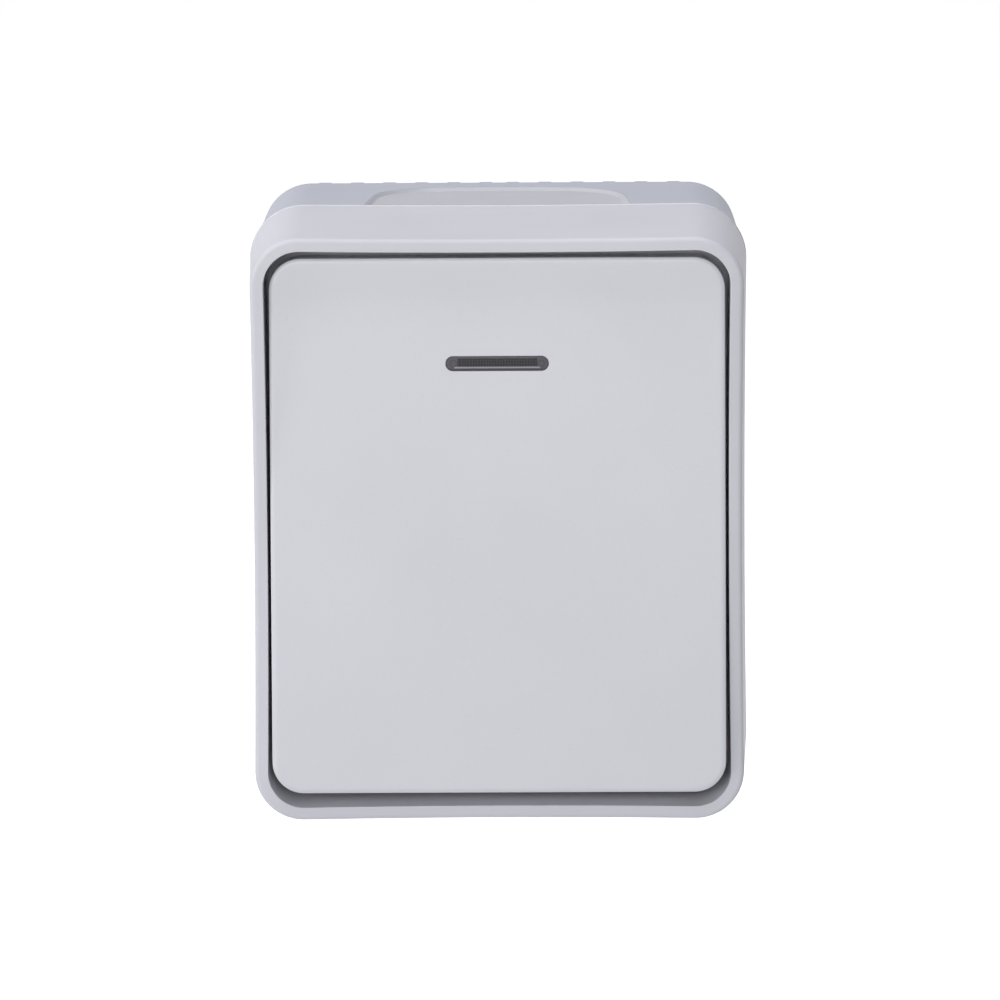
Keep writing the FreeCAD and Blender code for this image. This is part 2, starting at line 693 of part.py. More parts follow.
# Cable entry: a soft plate with a dished face, a plug through the hatch, a lip behind it and a nipple.
def make_cable_entry(name, turn):
    body = new_body(name)
    face = "(%s / 2 - entry_sunk)" % box_front_tall
    seat = "(%s / 2 - entry_seat)" % box_front_tall
    plate = new_sketch(body, name + "_plate_outline", "XY_Plane", seat)
    entry_outline(plate, "entry_fit")
    pad(body, plate, name + "_plate", "entry_seat - entry_sunk")
    trim = new_sketch(body, name + "_trim", "XY_Plane", face)
    rectangle(trim, "(entry_wide + entry_over)", "entry_trim", "0",
              "(-%s - entry_trim / 2 + entry_fit)" % box_out)
    pocket(body, trim, name + "_front_end", "entry_seat")
    plug = new_sketch(body, name + "_plug_outline", "XY_Plane", seat)
    rounded_rectangle(plug, "(hatch_wide - 2 * entry_fit)", "(hatch_high - 2 * entry_fit)", "hatch_corner",
                      "0", "(-hatch_out)")
    pad(body, plug, name + "_plug", "%s - %s / 2" % (seat, cavity_tall), towards_wall=True)
    lip = new_sketch(body, name + "_lip_outline", "XY_Plane", "(%s / 2)" % cavity_tall)
    rounded_rectangle(lip, "(hatch_wide + 2 * entry_lip)", "(hatch_high + 2 * entry_lip)",
                      "(hatch_corner + entry_lip)", "0", "(-hatch_out)")
    pad(body, lip, name + "_lip", "entry_lip", towards_wall=True)
    nipple = new_sketch(body, name + "_nipple_outline", "XY_Plane", "(%s / 2 - entry_lip)" % cavity_tall)
    circle(nipple, "nipple_round", "0", "(-hatch_out)")
    pad(body, nipple, name + "_nipple", "nipple_long", towards_wall=True)
    bore = new_sketch(body, name + "_bore_outline", "XY_Plane",
                      "(%s / 2 - entry_lip - nipple_long)" % cavity_tall)
    circle(bore, "(nipple_round - nipple_wall)", "0", "(-hatch_out)")
    bore_deep = "nipple_long + entry_lip + %s - %s / 2 - entry_dish" % (face, cavity_tall)
    pocket(body, bore, name + "_bore", "%s - nipple_wall" % bore_deep, away_from_wall=True)
    dish = new_sketch(body, name + "_dish_outline", "XY_Plane", face)
    entry_outline(dish, "entry_rim")
    floor = new_sketch(body, name + "_dish_floor", "XY_Plane", "(%s - entry_dish)" % face)
    entry_outline(floor, "(entry_rim + entry_slope)")
    cut = body.newObject("PartDesign::SubtractiveLoft", name + "_dish")
    cut.Profile = dish
    cut.Sections = [floor]
    cut.Ruled = True
    body.Placement = FreeCAD.Placement(FreeCAD.Vector(), FreeCAD.Rotation(FreeCAD.Vector(0, 1, 0), turn))
    return body


def ring(body, name, out, thick, outer, inner, outer_corner, inner_corner):
    # A rectangular ring; outer and inner are pairs of width and height.
    layer(body, name, out, thick,
          lambda sketch: rounded_rectangle(sketch, outer[0], outer[1], outer_corner))
    hollow(body, name + "_opening", "(%s + %s)" % (out, thick), thick,
           lambda sketch: rounded_rectangle(sketch, inner[0], inner[1], inner_corner))


def make_box_gasket():
    body = new_body("box_gasket")
    ring(body, "gasket", upstand_tip, "gasket_thick", (upstand_wide, upstand_tall),
         (cavity_wide, cavity_tall), "upstand_corner", "(upstand_corner - upstand_wall)")
    return body


def make_splash_seal():
    body = new_body("splash_seal")
    inner = "(cover_wide + 2 * seal_gap)"
    outer = "(cover_wide + 2 * seal_gap + 2 * seal_wall)"
    ring(body, "seal", strap_front, "(%s - %s)" % (well_rear, strap_front), (outer, outer), (inner, inner),
         "(block_corner + seal_wall)", "block_corner")
    return body


def make_support_strap():
    body = new_body("support_strap")
    window = "(block_wide + 2 * block_gap)"
    ring(body, "strap", "strap_out", "strap_thick", (strap_wide, strap_tall), (window, window),
         "strap_corner", "block_corner")

    def slots(sketch):
        for side in (1, -1):
            hole = "(2 * strap_screw_shank + 2 * strap_hole_play)"
            rounded_rectangle(sketch, "(%s + strap_slot_extra)" % hole, hole, "(%s / 2 - hair)" % hole,
                              "0", "(%d * %s)" % (side, post_up))

    hollow(body, "screw_slots", strap_front, "strap_thick", slots)
    return body


# Slotted screws along the out direction: a head, a shank below it and a slot across it.
def make_screws(name, places, seat, head, head_high, shank, shank_long):
    body = new_body(name)

    def circles(sketch, radius):
        for across, up in places:
            circle(sketch, radius, across, up)

    def slot_lines(sketch):
        for across, up in places:
            rectangle(sketch, "(2 * %s + cut_over)" % head, "screw_slot", across, up)

    layer(body, name + "_shank", "(%s - %s)" % (seat, shank_long), shank_long,
          lambda sketch: circles(sketch, shank))
    layer(body, name + "_head", seat, head_high, lambda sketch: circles(sketch, head))
    hollow(body, name + "_slot", "(%s + %s)" % (seat, head_high), "screw_slot_deep", slot_lines)
    return body


cell_places = [("(%d * cell_from_middle)" % sx, "(%d * cell_from_middle)" % sz)
               for sx, sz in corners_of_square]
post_places = [("0", post_up), ("0", "(-%s)" % post_up)]
clamp_front = "(%s + clamp_high)" % strip_front


# Mechanism block: a moulded square with a lever chamber, four terminal cells and channels between them.
def make_mechanism_body():
    body = new_body("mechanism_body")
    layer(body, "block", "block_out", "%s - block_out" % well_rear,
          lambda sketch: rounded_rectangle(sketch, "block_wide", "block_wide", "block_corner"))
    flange = "(block_wide + 2 * flange_reach)"
    layer(body, "flange", "(strap_out - flange_thick)", "flange_thick",
          lambda sketch: rounded_rectangle(sketch, flange, flange, "(block_corner + flange_reach)"))
    deep = "%s - %s" % (well_rear, chamber_floor)
    hollow(body, "chamber", well_rear, deep,
           lambda sketch: rectangle(sketch, "chamber_wide", "chamber_tall"))

    def cells(sketch):
        for across, up in cell_places:
            rectangle(sketch, "cell_wide", "cell_wide", across, up)

    def channels(sketch):
        middle = "((cell_from_middle - cell_wide / 2 + chamber_wide / 2) / 2)"
        long = "(cell_from_middle - cell_wide / 2 - chamber_wide / 2 + cut_over)"
        for sx, sz in corners_of_square:
            up = "(%d * (chamber_tall / 2 - strip_wide / 2 - strip_gap_end))" % sz
            rectangle(sketch, long, "(strip_wide + channel_play)", "(%d * %s)" % (sx, middle), up)

    def lead_bores(sketch):
        for side in (1, -1):
            circle(sketch, "(lead_round + lead_bore_play)", "(%d * lead_x)" % side, "lamp_up")

    hollow(body, "cells", well_rear, deep, cells)
    hollow(body, "channels", well_rear, deep, channels)
    hollow(body, "lead_bores", well_rear, "lead_bore_deep", lead_bores)
    wires = new_sketch(body, "wire_holes", "XY_Plane", "(block_wide / 2)")
    for side in (1, -1):
        circle(wires, "wire_hole", "(%d * cell_from_middle)" % side, "(-%s - clamp_high / 2)" % strip_front)
    upper = pocket(body, wires, "wire_entries",
                   "block_wide / 2 - cell_from_middle - cell_wide / 2 + cut_over")
    mirrored(body, [upper], "lower_wire_entries", "XY_Plane")
    return body


# Mechanism cover: a shallow lid with two ears that hold the rocker's pins.
def make_mechanism_cover():
    body = new_body("mechanism_cover")
    lid = layer(body, "lid", strap_front, "%s - %s" % (cover_front, strap_front),
                lambda sketch: rounded_rectangle(sketch, "cover_wide", "cover_wide",
                                                 "block_corner + cover_rim"))
    front = -value(cover_front)
    fillet(body, lid, "lid_edge", "cover_round", lambda spot: near(spot.y, front))
    inside = new_sketch(body, "lid_inside", "XZ_Plane", strap_front)
    inner = "(cover_wide - 2 * cover_rim)"
    rounded_rectangle(inside, inner, inner, "block_corner")
    pocket(body, inside, "lid_hollow", "%s - %s" % (well_rear, strap_front), away_from_wall=True)
    ear_x = "(cradle_wide / 2 + ear_gap)"
    ear = new_sketch(body, "ear_outline", "YZ_Plane", ear_x)
    polygon(ear, [
        ("(-pivot_out)", "(-ear_round)"),
        ("(-pivot_out)", "ear_round"),
        ("(-%s + bite)" % cover_front, "(ear_round + ear_flare)"),
        ("(-%s + bite)" % cover_front, "(-ear_round - ear_flare)"),
    ])
    foot = pad(body, ear, "ear_foot", "ear_thick")
    crown_outline = new_sketch(body, "ear_crown_outline", "YZ_Plane", ear_x)
    circle(crown_outline, "ear_round", "(-pivot_out)", "0")
    crown = pad(body, crown_outline, "ear_crown", "ear_thick")
    mirrored(body, [foot, crown], "left_ear", "YZ_Plane")
    pin_hole = new_sketch(body, "pin_hole_outline", "YZ_Plane", "0")
    circle(pin_hole, "(pin_round + pin_play)", "(-pivot_out)", "0")
    pocket(body, pin_hole, "pin_holes", "2 * (%s + ear_thick + cut_over)" % ear_x, midplane=True)

    def openings(sketch):
        slot_wide = "(2 * tube_round + 2 * tube_play)"
        rectangle(sketch, slot_wide, "(%s + 2 * tube_swing)" % slot_wide)
        for across, up in cell_places:
            circle(sketch, "(screw_head + head_gap)", across, up)
        for side in (1, -1):
            circle(sketch, "(lead_round + lead_play)", "(%d * lead_x)" % side, "lamp_up")

    hollow(body, "openings", cover_front, "cover_thick", openings)
    return body


# Contacts: flat brass strips on the chamber's floor, each ending under a terminal clamp.
fork_half = "(lever_wide / 2 + fork_gap + fork_thick)"
tail_x = "(chamber_wide / 2 - strip_gap_side - strip_wide / 2)"
tail_z = "(chamber_tall / 2 - strip_gap_end - strip_wide / 2)"
cell_end = "(cell_from_middle + clamp_wide / 2 - clamp_cover)"


def make_tail(body, name, sx, sz, start):
    # An angled strip: along the chamber's side, then out into the cell.
    top = "(%s + strip_wide / 2)" % tail_z
    layer(body, name + "_side", chamber_floor, "strip_thick", lambda sketch: rectangle(
        sketch, "strip_wide", "(%s - %s)" % (top, start),
        "(%d * %s)" % (sx, tail_x), "(%d * (%s + %s) / 2)" % (sz, top, start)))
    inner = "(%s - strip_wide / 2)" % tail_x
    layer(body, name + "_end", chamber_floor, "strip_thick", lambda sketch: rectangle(
        sketch, "(%s - %s)" % (cell_end, inner), "strip_wide",
        "(%d * (%s + %s) / 2)" % (sx, cell_end, inner), "(%d * %s)" % (sz, tail_z)))


def make_common_contact():
    body = new_body("common_contact")
    reach = "(%s + strip_wide / 2)" % tail_x
    layer(body, "fork_base", chamber_floor, "strip_thick", lambda sketch: rectangle(
        sketch, "(%s + %s)" % (fork_half, reach), "fork_tall", "((%s - %s) / 2)" % (fork_half, reach), "0"))

    def cheeks(sketch):
        for side in (1, -1):
            across = "(%d * (%s - fork_thick / 2))" % (side, fork_half)
            rectangle(sketch, "fork_thick", "fork_tall", across, "0")

    layer(body, "fork_cheeks", strip_front, "lever_out + fork_above - %s" % strip_front, cheeks)
    make_tail(body, "common_tail", -1, -1, "(-fork_tall / 2)")
    notch = new_sketch(body, "notch_round", "YZ_Plane", "0")
    circle(notch, "(trunnion_round + trunnion_play)", "(-lever_out)", "0")
    pocket(body, notch, "fork_notch", "4 * %s" % fork_half, midplane=True)
    mouth = new_sketch(body, "notch_mouth", "YZ_Plane", "0")
    rectangle(mouth, "(fork_above + cut_over)", "(2 * trunnion_round + 2 * trunnion_play)",
              "(-lever_out - fork_above / 2 - cut_over / 2)", "0")
    pocket(body, mouth, "fork_mouth", "4 * %s" % fork_half, midplane=True)
    return body


# Where the lowest corner of a lever tip stops when the lever is fully over.
contact_face = ("(lever_out - (lever_thick / 2 + tip_thick) * cos(lever_tilt)"
                " - (tip_from_middle + tip_round) * sin(lever_tilt) - contact_gap)")


def make_fixed_contact(name, side):
    body = new_body(name)
    up = "(%d * tip_from_middle)" % side
    wide = "(%s + strip_wide / 2 + tip_round)" % tail_x
    layer(body, name + "_foot", chamber_floor, "strip_thick", lambda sketch: rectangle(
        sketch, wide, "(2 * tip_round)", "(%s / 2 - tip_round)" % wide, up))
    make_tail(body, name + "_tail", 1, side, "(tip_from_middle - tip_round)")
    layer(body, name + "_pillar", strip_front, "%s - rivet_thick - %s" % (contact_face, strip_front),
          lambda sketch: rectangle(sketch, "(2 * tip_round)", "(2 * tip_round)", "0", up))
    layer(body, name + "_rivet", "(%s - rivet_thick)" % contact_face, "rivet_thick",
          lambda sketch: circle(sketch, "tip_round", "0", up))
    return body


def make_neutral_strip():
    body = new_body("neutral_strip")
    make_tail(body, "neutral_tail", -1, 1, "(%s - strip_wide)" % tail_z)
    layer(body, "neutral_post", strip_front, "neutral_high", lambda sketch: rectangle(
        sketch, "strip_thick", "strip_wide", "(-%s)" % tail_x, "(%s - strip_wide)" % tail_z))
    return body


def make_terminal_clamps():
    body = new_body("terminal_clamps")
    middle = "(-%s - clamp_high / 2)" % strip_front
    outline = new_sketch(body, "clamp_outline", "XY_Plane", "cell_from_middle")
    opening = new_sketch(body, "clamp_opening", "XY_Plane", "cell_from_middle")
    for side in (1, -1):
        across = "(%d * cell_from_middle)" % side
        rectangle(outline, "clamp_wide", "clamp_high", across, middle)
        rectangle(opening, "(clamp_wide - 2 * clamp_wall)", "(clamp_high - 2 * clamp_wall)", across, middle)
    rings = pad(body, outline, "clamps", "clamp_long", midplane=True)
    tunnels = pocket(body, opening, "clamp_tunnels", "clamp_long + cut_over", midplane=True)
    mirrored(body, [rings, tunnels], "lower_clamps", "XY_Plane")

    def holes(sketch):
        for across, up in cell_places:
            circle(sketch, "(screw_shank + screw_play)", across, up)

    hollow(body, "clamp_holes", clamp_front, "clamp_wall", holes)
    return body


# Lamp, its holder and its wires.
def make_lamp_holder():
    body = new_body("lamp_holder")
    layer(body, "holder_block", cover_front, "lamp_out - %s" % cover_front,
          lambda sketch: rectangle(sketch, "holder_wide", "holder_tall", "0", "lamp_up"))
    groove = new_sketch(body, "holder_groove", "YZ_Plane", "0")
    circle(groove, "(lamp_round + lamp_play)", "(-lamp_out)", "lamp_up")
    pocket(body, groove, "lamp_groove", "holder_wide + cut_over", midplane=True)
    return body


def make_indicator_lamp():
    body = new_body("indicator_lamp")
    half = "(lamp_long / 2)"
    profile = new_sketch(body, "lamp_profile", "XY_Plane", "0")
    polygon(profile, [
        ("(-%s)" % half, "0"),
        (half, "0"),
        (half, "(lamp_round - lamp_shoulder)"),
        ("(%s - lamp_shoulder)" % half, "lamp_round"),
        ("(-%s + lamp_shoulder)" % half, "lamp_round"),
        ("(-%s)" % half, "(lamp_round - lamp_shoulder)"),
    ])
    turned = body.newObject("PartDesign::Revolution", "lamp_glass")
    turned.Profile = profile
    turned.ReferenceAxis = (profile, ["H_Axis"])
    turned.Angle = 360
    bind(body, ".Placement.Base.y", "-lamp_out")
    bind(body, ".Placement.Base.z", "lamp_up")
    return body


def make_lamp_leads():
    body = new_body("lamp_leads")
    bend = value("lead_bend")
    start_x, end_x = value("lamp_long / 2"), value("lead_x")
    top, foot = -value("lamp_out"), -value("%s - lead_deep" % well_rear)
    path = new_sketch(body, "lead_path", "XY_Plane", "lamp_up")
    corner = arc_through((end_x - bend, top + bend), bend, 270, 90)
    path.addGeometry(Part.LineSegment(FreeCAD.Vector(start_x, top, 0), corner.StartPoint), False)
    path.addGeometry(corner, False)
    path.addGeometry(Part.LineSegment(corner.EndPoint, FreeCAD.Vector(end_x, foot, 0)), False)
    path.addConstraint(Sketcher.Constraint("Tangent", 0, 2, 1, 1))
    path.addConstraint(Sketcher.Constraint("Tangent", 1, 2, 2, 1))
    hold_point(path, 0, 1, "(lamp_long / 2)", "(-lamp_out)")
    path.addConstraint(Sketcher.Constraint("Horizontal", 0))
    hold_size(path, "Radius", 1, "lead_bend")
    hold_point(path, 2, 2, "lead_x", "(-%s + lead_deep)" % well_rear)
    path.addConstraint(Sketcher.Constraint("Vertical", 2))
    section = new_sketch(body, "lead_section", "YZ_Plane", "(lamp_long / 2)")
    circle(section, "lead_round", "(-lamp_out)", "lamp_up")
    doc.recompute()
    wire = body.newObject("PartDesign::AdditivePipe", "lead")
    wire.Profile = section
    wire.Spine = (path, ["Edge1", "Edge2", "Edge3"])
    mirrored(body, [wire], "left_lead", "YZ_Plane")
    return body


# Earth terminal on the box's floor.
def make_earth_terminal():
    body = new_body("earth_terminal")
    layer(body, "earth_block", "box_floor", "earth_high",
          lambda sketch: rectangle(sketch, "earth_wide", "earth_tall", earth_across, earth_up))
    bores = new_sketch(body, "earth_bore_outline", "XY_Plane", earth_up)
    for side in (1, -1):
        circle(bores, "earth_bore", "(%s + %d * earth_wide / 4)" % (earth_across, side),
               "(-box_floor - earth_high / 2)")
    pocket(body, bores, "earth_bores", "earth_tall + cut_over", midplane=True)
    hollow(body, "earth_screw_hole", "(box_floor + earth_high)", "earth_hole_deep",
           lambda sketch: circle(sketch, "(strap_screw_shank / 2 + screw_play)", earth_across,
                                 earth_up))
    return body


def set_on_pivot(body, out, axis_sign, angle):
    turn = FreeCAD.Rotation(FreeCAD.Vector(axis_sign, 0, 0), value(angle))
    body.Placement = FreeCAD.Placement(FreeCAD.Vector(0, -value(out), 0), turn)
    bind(body, ".Placement.Base.y", "-%s" % out)
    bind(body, ".Placement.Rotation.Angle", angle)
    return body


def on_rocker_pivot(body):
    return set_on_pivot(body, "pivot_out", -1, "rest_tilt")


def on_lever_pivot(body):
    return set_on_pivot(body, "lever_out", 1, "lever_tilt")


stud_places = [("(%d * stud_from_middle)" % sx, "(%d * stud_from_middle)" % sz)
               for sx, sz in corners_of_square]
cap_rear = "(rocker_face - rocker_cap)"


# Rocker: a large flat cap with a skirt all round, ribs and four studs for the cradle.
def make_rocker():
    body = new_body("rocker")
    cap = layer(body, "cap", cradle_rear, "rocker_deep",
                lambda sketch: rounded_rectangle(sketch, rocker_wide, rocker_tall, "rocker_corner"))
    front = -value("rocker_face")
    fillet(body, cap, "cap_edge", "rocker_round", lambda spot: near(spot.y, front))
    inside = new_sketch(body, "cap_inside", "XZ_Plane", cradle_rear)
    inner_wide = "(%s - 2 * rocker_wall)" % rocker_wide
    inner_tall = "(%s - 2 * rocker_wall)" % rocker_tall
    rounded_rectangle(inside, inner_wide, inner_tall, "(rocker_corner - rocker_wall)")
    pocket(body, inside, "cap_hollow", "rocker_deep - rocker_cap", away_from_wall=True)
    rib_out = "(%s - rib_deep)" % cap_rear

    def long_ribs(sketch):
        for side in (1, -1):
            rectangle(sketch, "rib_thick", "(%s + 2 * bite)" % inner_tall, "(%d * rib_x)" % side, "0")

    def cross_ribs(sketch):
        for side in (1, -1):
            rectangle(sketch, "(%s + 2 * bite)" % inner_wide, "rib_thick", "0", "(%d * rib_z)" % side)

    def stud_circles(sketch, radius):
        for across, up in stud_places:
            circle(sketch, radius, across, up)

    layer(body, "long_ribs", rib_out, "rib_deep", long_ribs)
    layer(body, "cross_ribs", rib_out, "rib_deep", cross_ribs)
    layer(body, "studs", cradle_front, "%s - %s" % (cap_rear, cradle_front),
          lambda sketch: stud_circles(sketch, "stud_round"))
    layer(body, "stud_pins", cradle_rear, "cradle_thick", lambda sketch: stud_circles(sketch, "stud_pin"))
    hollow(body, "lens_slot", "rocker_face", "rocker_cap", lambda sketch: rounded_rectangle(
        sketch, "(lens_wide + 2 * lens_fit)", "(lens_tall + 2 * lens_fit)", "(lens_tall / 2)",
        "0", "lens_up"))
    return on_rocker_pivot(body)


def make_indicator_lens():
    body = new_body("indicator_lens")
    layer(body, "lens_bar", cap_rear, "rocker_cap - lens_sunk", lambda sketch: rounded_rectangle(
        sketch, "lens_wide", "lens_tall", "(lens_tall / 2 - hair)", "0", "lens_up"))
    layer(body, "lens_lip", "(%s - lens_lip_thick)" % cap_rear, "lens_lip_thick",
          lambda sketch: rounded_rectangle(
              sketch, "(lens_wide + 2 * lens_lip)", "(lens_tall + 2 * lens_lip)",
              "(lens_tall / 2 + lens_lip - hair)", "0", "lens_up"))
    return on_rocker_pivot(body)


# Cradle: a plate on the rocker's studs, with two cheeks for the pins and a tube for the spring.
def make_rocker_cradle():
    body = new_body("rocker_cradle")
    layer(body, "cradle_plate", cradle_rear, "cradle_thick",
          lambda sketch: rounded_rectangle(sketch, "cradle_wide", "cradle_wide", "block_corner"))

    def stud_holes(sketch):
        for across, up in stud_places:
            circle(sketch, "(stud_pin + pin_grip)", across, up)

    hollow(body, "stud_holes", cradle_front, "cradle_thick", stud_holes)
    cheek_x = "(cradle_wide / 2 - cheek_thick)"
    cheek = new_sketch(body, "cheek_outline", "YZ_Plane", cheek_x)
    polygon(cheek, [
        ("0", "(-cheek_round)"),
        ("0", "cheek_round"),
        ("(-%s - bite)" % cradle_rear, "cheek_foot"),
        ("(-%s - bite)" % cradle_rear, "(-cheek_foot)"),
    ])
    foot = pad(body, cheek, "cheek", "cheek_thick")
    round_outline = new_sketch(body, "cheek_round_outline", "YZ_Plane", cheek_x)
    circle(round_outline, "cheek_round", "0", "0")
    tip = pad(body, round_outline, "cheek_tip", "cheek_thick")
    hole_outline = new_sketch(body, "cheek_hole_outline", "YZ_Plane", "(cradle_wide / 2)")
    circle(hole_outline, "(pin_round + pin_grip)", "0", "0")
    hole = pocket(body, hole_outline, "cheek_hole", "cheek_thick")
    mirrored(body, [foot, tip, hole], "left_cheek", "YZ_Plane")
    layer(body, "tube", "(-tube_long)", "tube_long + %s" % cradle_front,
          lambda sketch: circle(sketch, "tube_round"))
    bore = new_sketch(body, "tube_bore_outline", "XZ_Plane", "(-tube_long)")
    circle(bore, "tube_bore")
    pocket(body, bore, "tube_hollow", "tube_long + %s - tube_roof" % cradle_front, away_from_wall=True)
    return on_rocker_pivot(body)


def make_pivot_pins():
    body = new_body("pivot_pins")
    start = "(cradle_wide / 2 - cheek_thick + pin_recess)"
    outline = new_sketch(body, "pin_outline", "YZ_Plane", start)
    circle(outline, "pin_round")
    right = pad(body, outline, "pin", "cheek_thick + ear_gap + ear_thick")
    mirrored(body, [right], "left_pin", "YZ_Plane")
    return on_rocker_pivot(body)


def make_spring_plunger():
    body = new_body("spring_plunger")
    stem = layer(body, "stem", "(-plunger_reach)", "plunger_long",
                 lambda sketch: circle(sketch, "(tube_bore - plunger_play)"))
    doc.recompute()
    tip = value("plunger_reach")
    fillet(body, stem, "stem_tip", "plunger_tip", lambda spot: near(spot.y, tip))
    return on_rocker_pivot(body)


def make_snap_spring():
    body = new_body("snap_spring")
    profile = new_sketch(body, "wire_section", "XY_Plane", "0")
    low = "(-plunger_reach + plunger_long + spring_wire / 2)"
    high = "(%s - tube_roof - spring_wire / 2)" % cradle_front
    circle(profile, "(spring_wire / 2)", "(tube_bore - plunger_play - spring_wire / 2)", "(-%s)" % high)
    doc.recompute()
    coil = body.newObject("PartDesign::AdditiveHelix", "coil")
    coil.Profile = profile
    coil.ReferenceAxis = (profile, ["V_Axis"])
    coil.Mode = 0
    bind(coil, "Height", "%s - %s" % (high, low))
    bind(coil, "Pitch", "(%s - %s) / spring_turns" % (high, low))
    return on_rocker_pivot(body)


# Contact lever: a strip with two trunnions that rock in the fork.
def make_contact_lever():
    body = new_body("contact_lever")
    layer(body, "strip", "(-lever_thick / 2)", "lever_thick",
          lambda sketch: rounded_rectangle(sketch, "lever_wide", "lever_long", "lever_corner"))
    outline = new_sketch(body, "trunnion_outline", "YZ_Plane", "(lever_wide / 2 - trunnion_root)")
    circle(outline, "trunnion_round")
    right = pad(body, outline, "trunnion", "fork_gap + fork_thick + trunnion_over")
    mirrored(body, [right], "left_trunnion", "YZ_Plane")
    return on_lever_pivot(body)


def make_contact_tips():
    body = new_body("contact_tips")

    def tips(sketch):
        for side in (1, -1):
            circle(sketch, "tip_round", "0", "(%d * tip_from_middle)" % side)

    layer(body, "tips", "(-lever_thick / 2 - tip_thick)", "tip_thick", tips)
    return on_lever_pivot(body)


sub_parts = [
    make_rear_box(),
    make_cable_entry("top_cable_entry", 0),
    make_cable_entry("bottom_cable_entry", 180),
    make_box_gasket(),
    make_front_frame(),
    make_support_strap(),
    make_screws("strap_screws", post_places, strap_front, "strap_screw_head", "strap_screw_high",
                "strap_screw_shank", "strap_screw_long"),
    make_mechanism_body(),
    make_mechanism_cover(),
    make_common_contact(),
    make_fixed_contact("upper_contact", 1),
    make_fixed_contact("lower_contact", -1),
    make_neutral_strip(),
    make_terminal_clamps(),
    make_screws("terminal_screws", cell_places, "(%s + screw_lift)" % clamp_front, "screw_head",
                "screw_head_high", "screw_shank", "terminal_screw_long"),
    make_lamp_holder(),
    make_indicator_lamp(),
    make_lamp_leads(),
    make_splash_seal(),
    make_earth_terminal(),
    make_screws("earth_screw", [(earth_across, earth_up)], "(box_floor + earth_high)", "screw_head",
                "screw_head_high", "(strap_screw_shank / 2)", "earth_screw_long"),
    make_rocker(),
    make_indicator_lens(),
    make_rocker_cradle(),
    make_pivot_pins(),
    make_snap_spring(),
    make_spring_plunger(),
    make_contact_lever(),
    make_contact_tips(),
]

doc.recompute()

for thing in doc.Objects:
    if "Invalid" in thing.State or "Error" in thing.State:
        raise RuntimeError("%s failed: %s" % (thing.Name, thing.State))
for sub_part in sub_parts:
    if sub_part.Shape.isNull() or not sub_part.Shape.isValid():
        raise RuntimeError("%s has no valid shape" % sub_part.Label)

os.makedirs("parts", exist_ok=True)
for sub_part in sub_parts:
    sub_part.Shape.exportStep("parts/%s.step" % sub_part.Label)
    print("%s: %d solid(s), %.1f mm3" % (sub_part.Label, len(sub_part.Shape.Solids), sub_part.Shape.Volume))
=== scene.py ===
import math

import bmesh
import bpy
import numpy as np
from mathutils import Matrix, Vector


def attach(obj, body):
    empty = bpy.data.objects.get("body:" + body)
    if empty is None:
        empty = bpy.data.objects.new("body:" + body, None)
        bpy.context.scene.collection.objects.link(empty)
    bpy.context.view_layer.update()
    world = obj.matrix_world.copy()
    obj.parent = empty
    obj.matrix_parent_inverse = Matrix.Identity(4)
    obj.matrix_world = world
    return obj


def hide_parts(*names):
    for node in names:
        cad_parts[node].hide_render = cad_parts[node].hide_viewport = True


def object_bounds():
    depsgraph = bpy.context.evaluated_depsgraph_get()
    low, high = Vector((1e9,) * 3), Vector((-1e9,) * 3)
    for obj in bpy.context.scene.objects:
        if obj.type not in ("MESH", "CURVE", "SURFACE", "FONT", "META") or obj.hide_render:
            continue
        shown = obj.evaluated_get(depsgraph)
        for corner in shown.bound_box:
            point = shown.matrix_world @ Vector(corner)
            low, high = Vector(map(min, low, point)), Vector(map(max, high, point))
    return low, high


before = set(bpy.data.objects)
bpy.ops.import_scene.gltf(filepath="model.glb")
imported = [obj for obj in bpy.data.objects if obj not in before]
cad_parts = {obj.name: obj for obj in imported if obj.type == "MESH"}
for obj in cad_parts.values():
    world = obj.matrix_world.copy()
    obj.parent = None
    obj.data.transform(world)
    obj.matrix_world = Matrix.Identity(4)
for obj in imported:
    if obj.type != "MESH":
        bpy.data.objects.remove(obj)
cadBox = [list(corner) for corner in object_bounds()]

# Outdoor surface switch with a tilting rocker. The shapes are worked out in millimetres, with "out" as the
# distance from the wall towards the user, and turned into metres when they become a mesh.
mm = 0.001
# Degrees between faces that still count as one flat face, and how far face size rules the shading normals.
flatAngle, normalWeight = 0.4, 80
print("stage: frame loaded,", len(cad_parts), "nodes")


# Meshes

def arcRun(centre, radius, start, finish, steps=6):
    # Points (offset, out) along an arc: the centre plus the radius times the cosine and sine of the angle.
    angles = np.radians(np.linspace(start, finish, steps))
    return list(zip(centre[0] + radius * np.cos(angles), centre[1] + radius * np.sin(angles)))


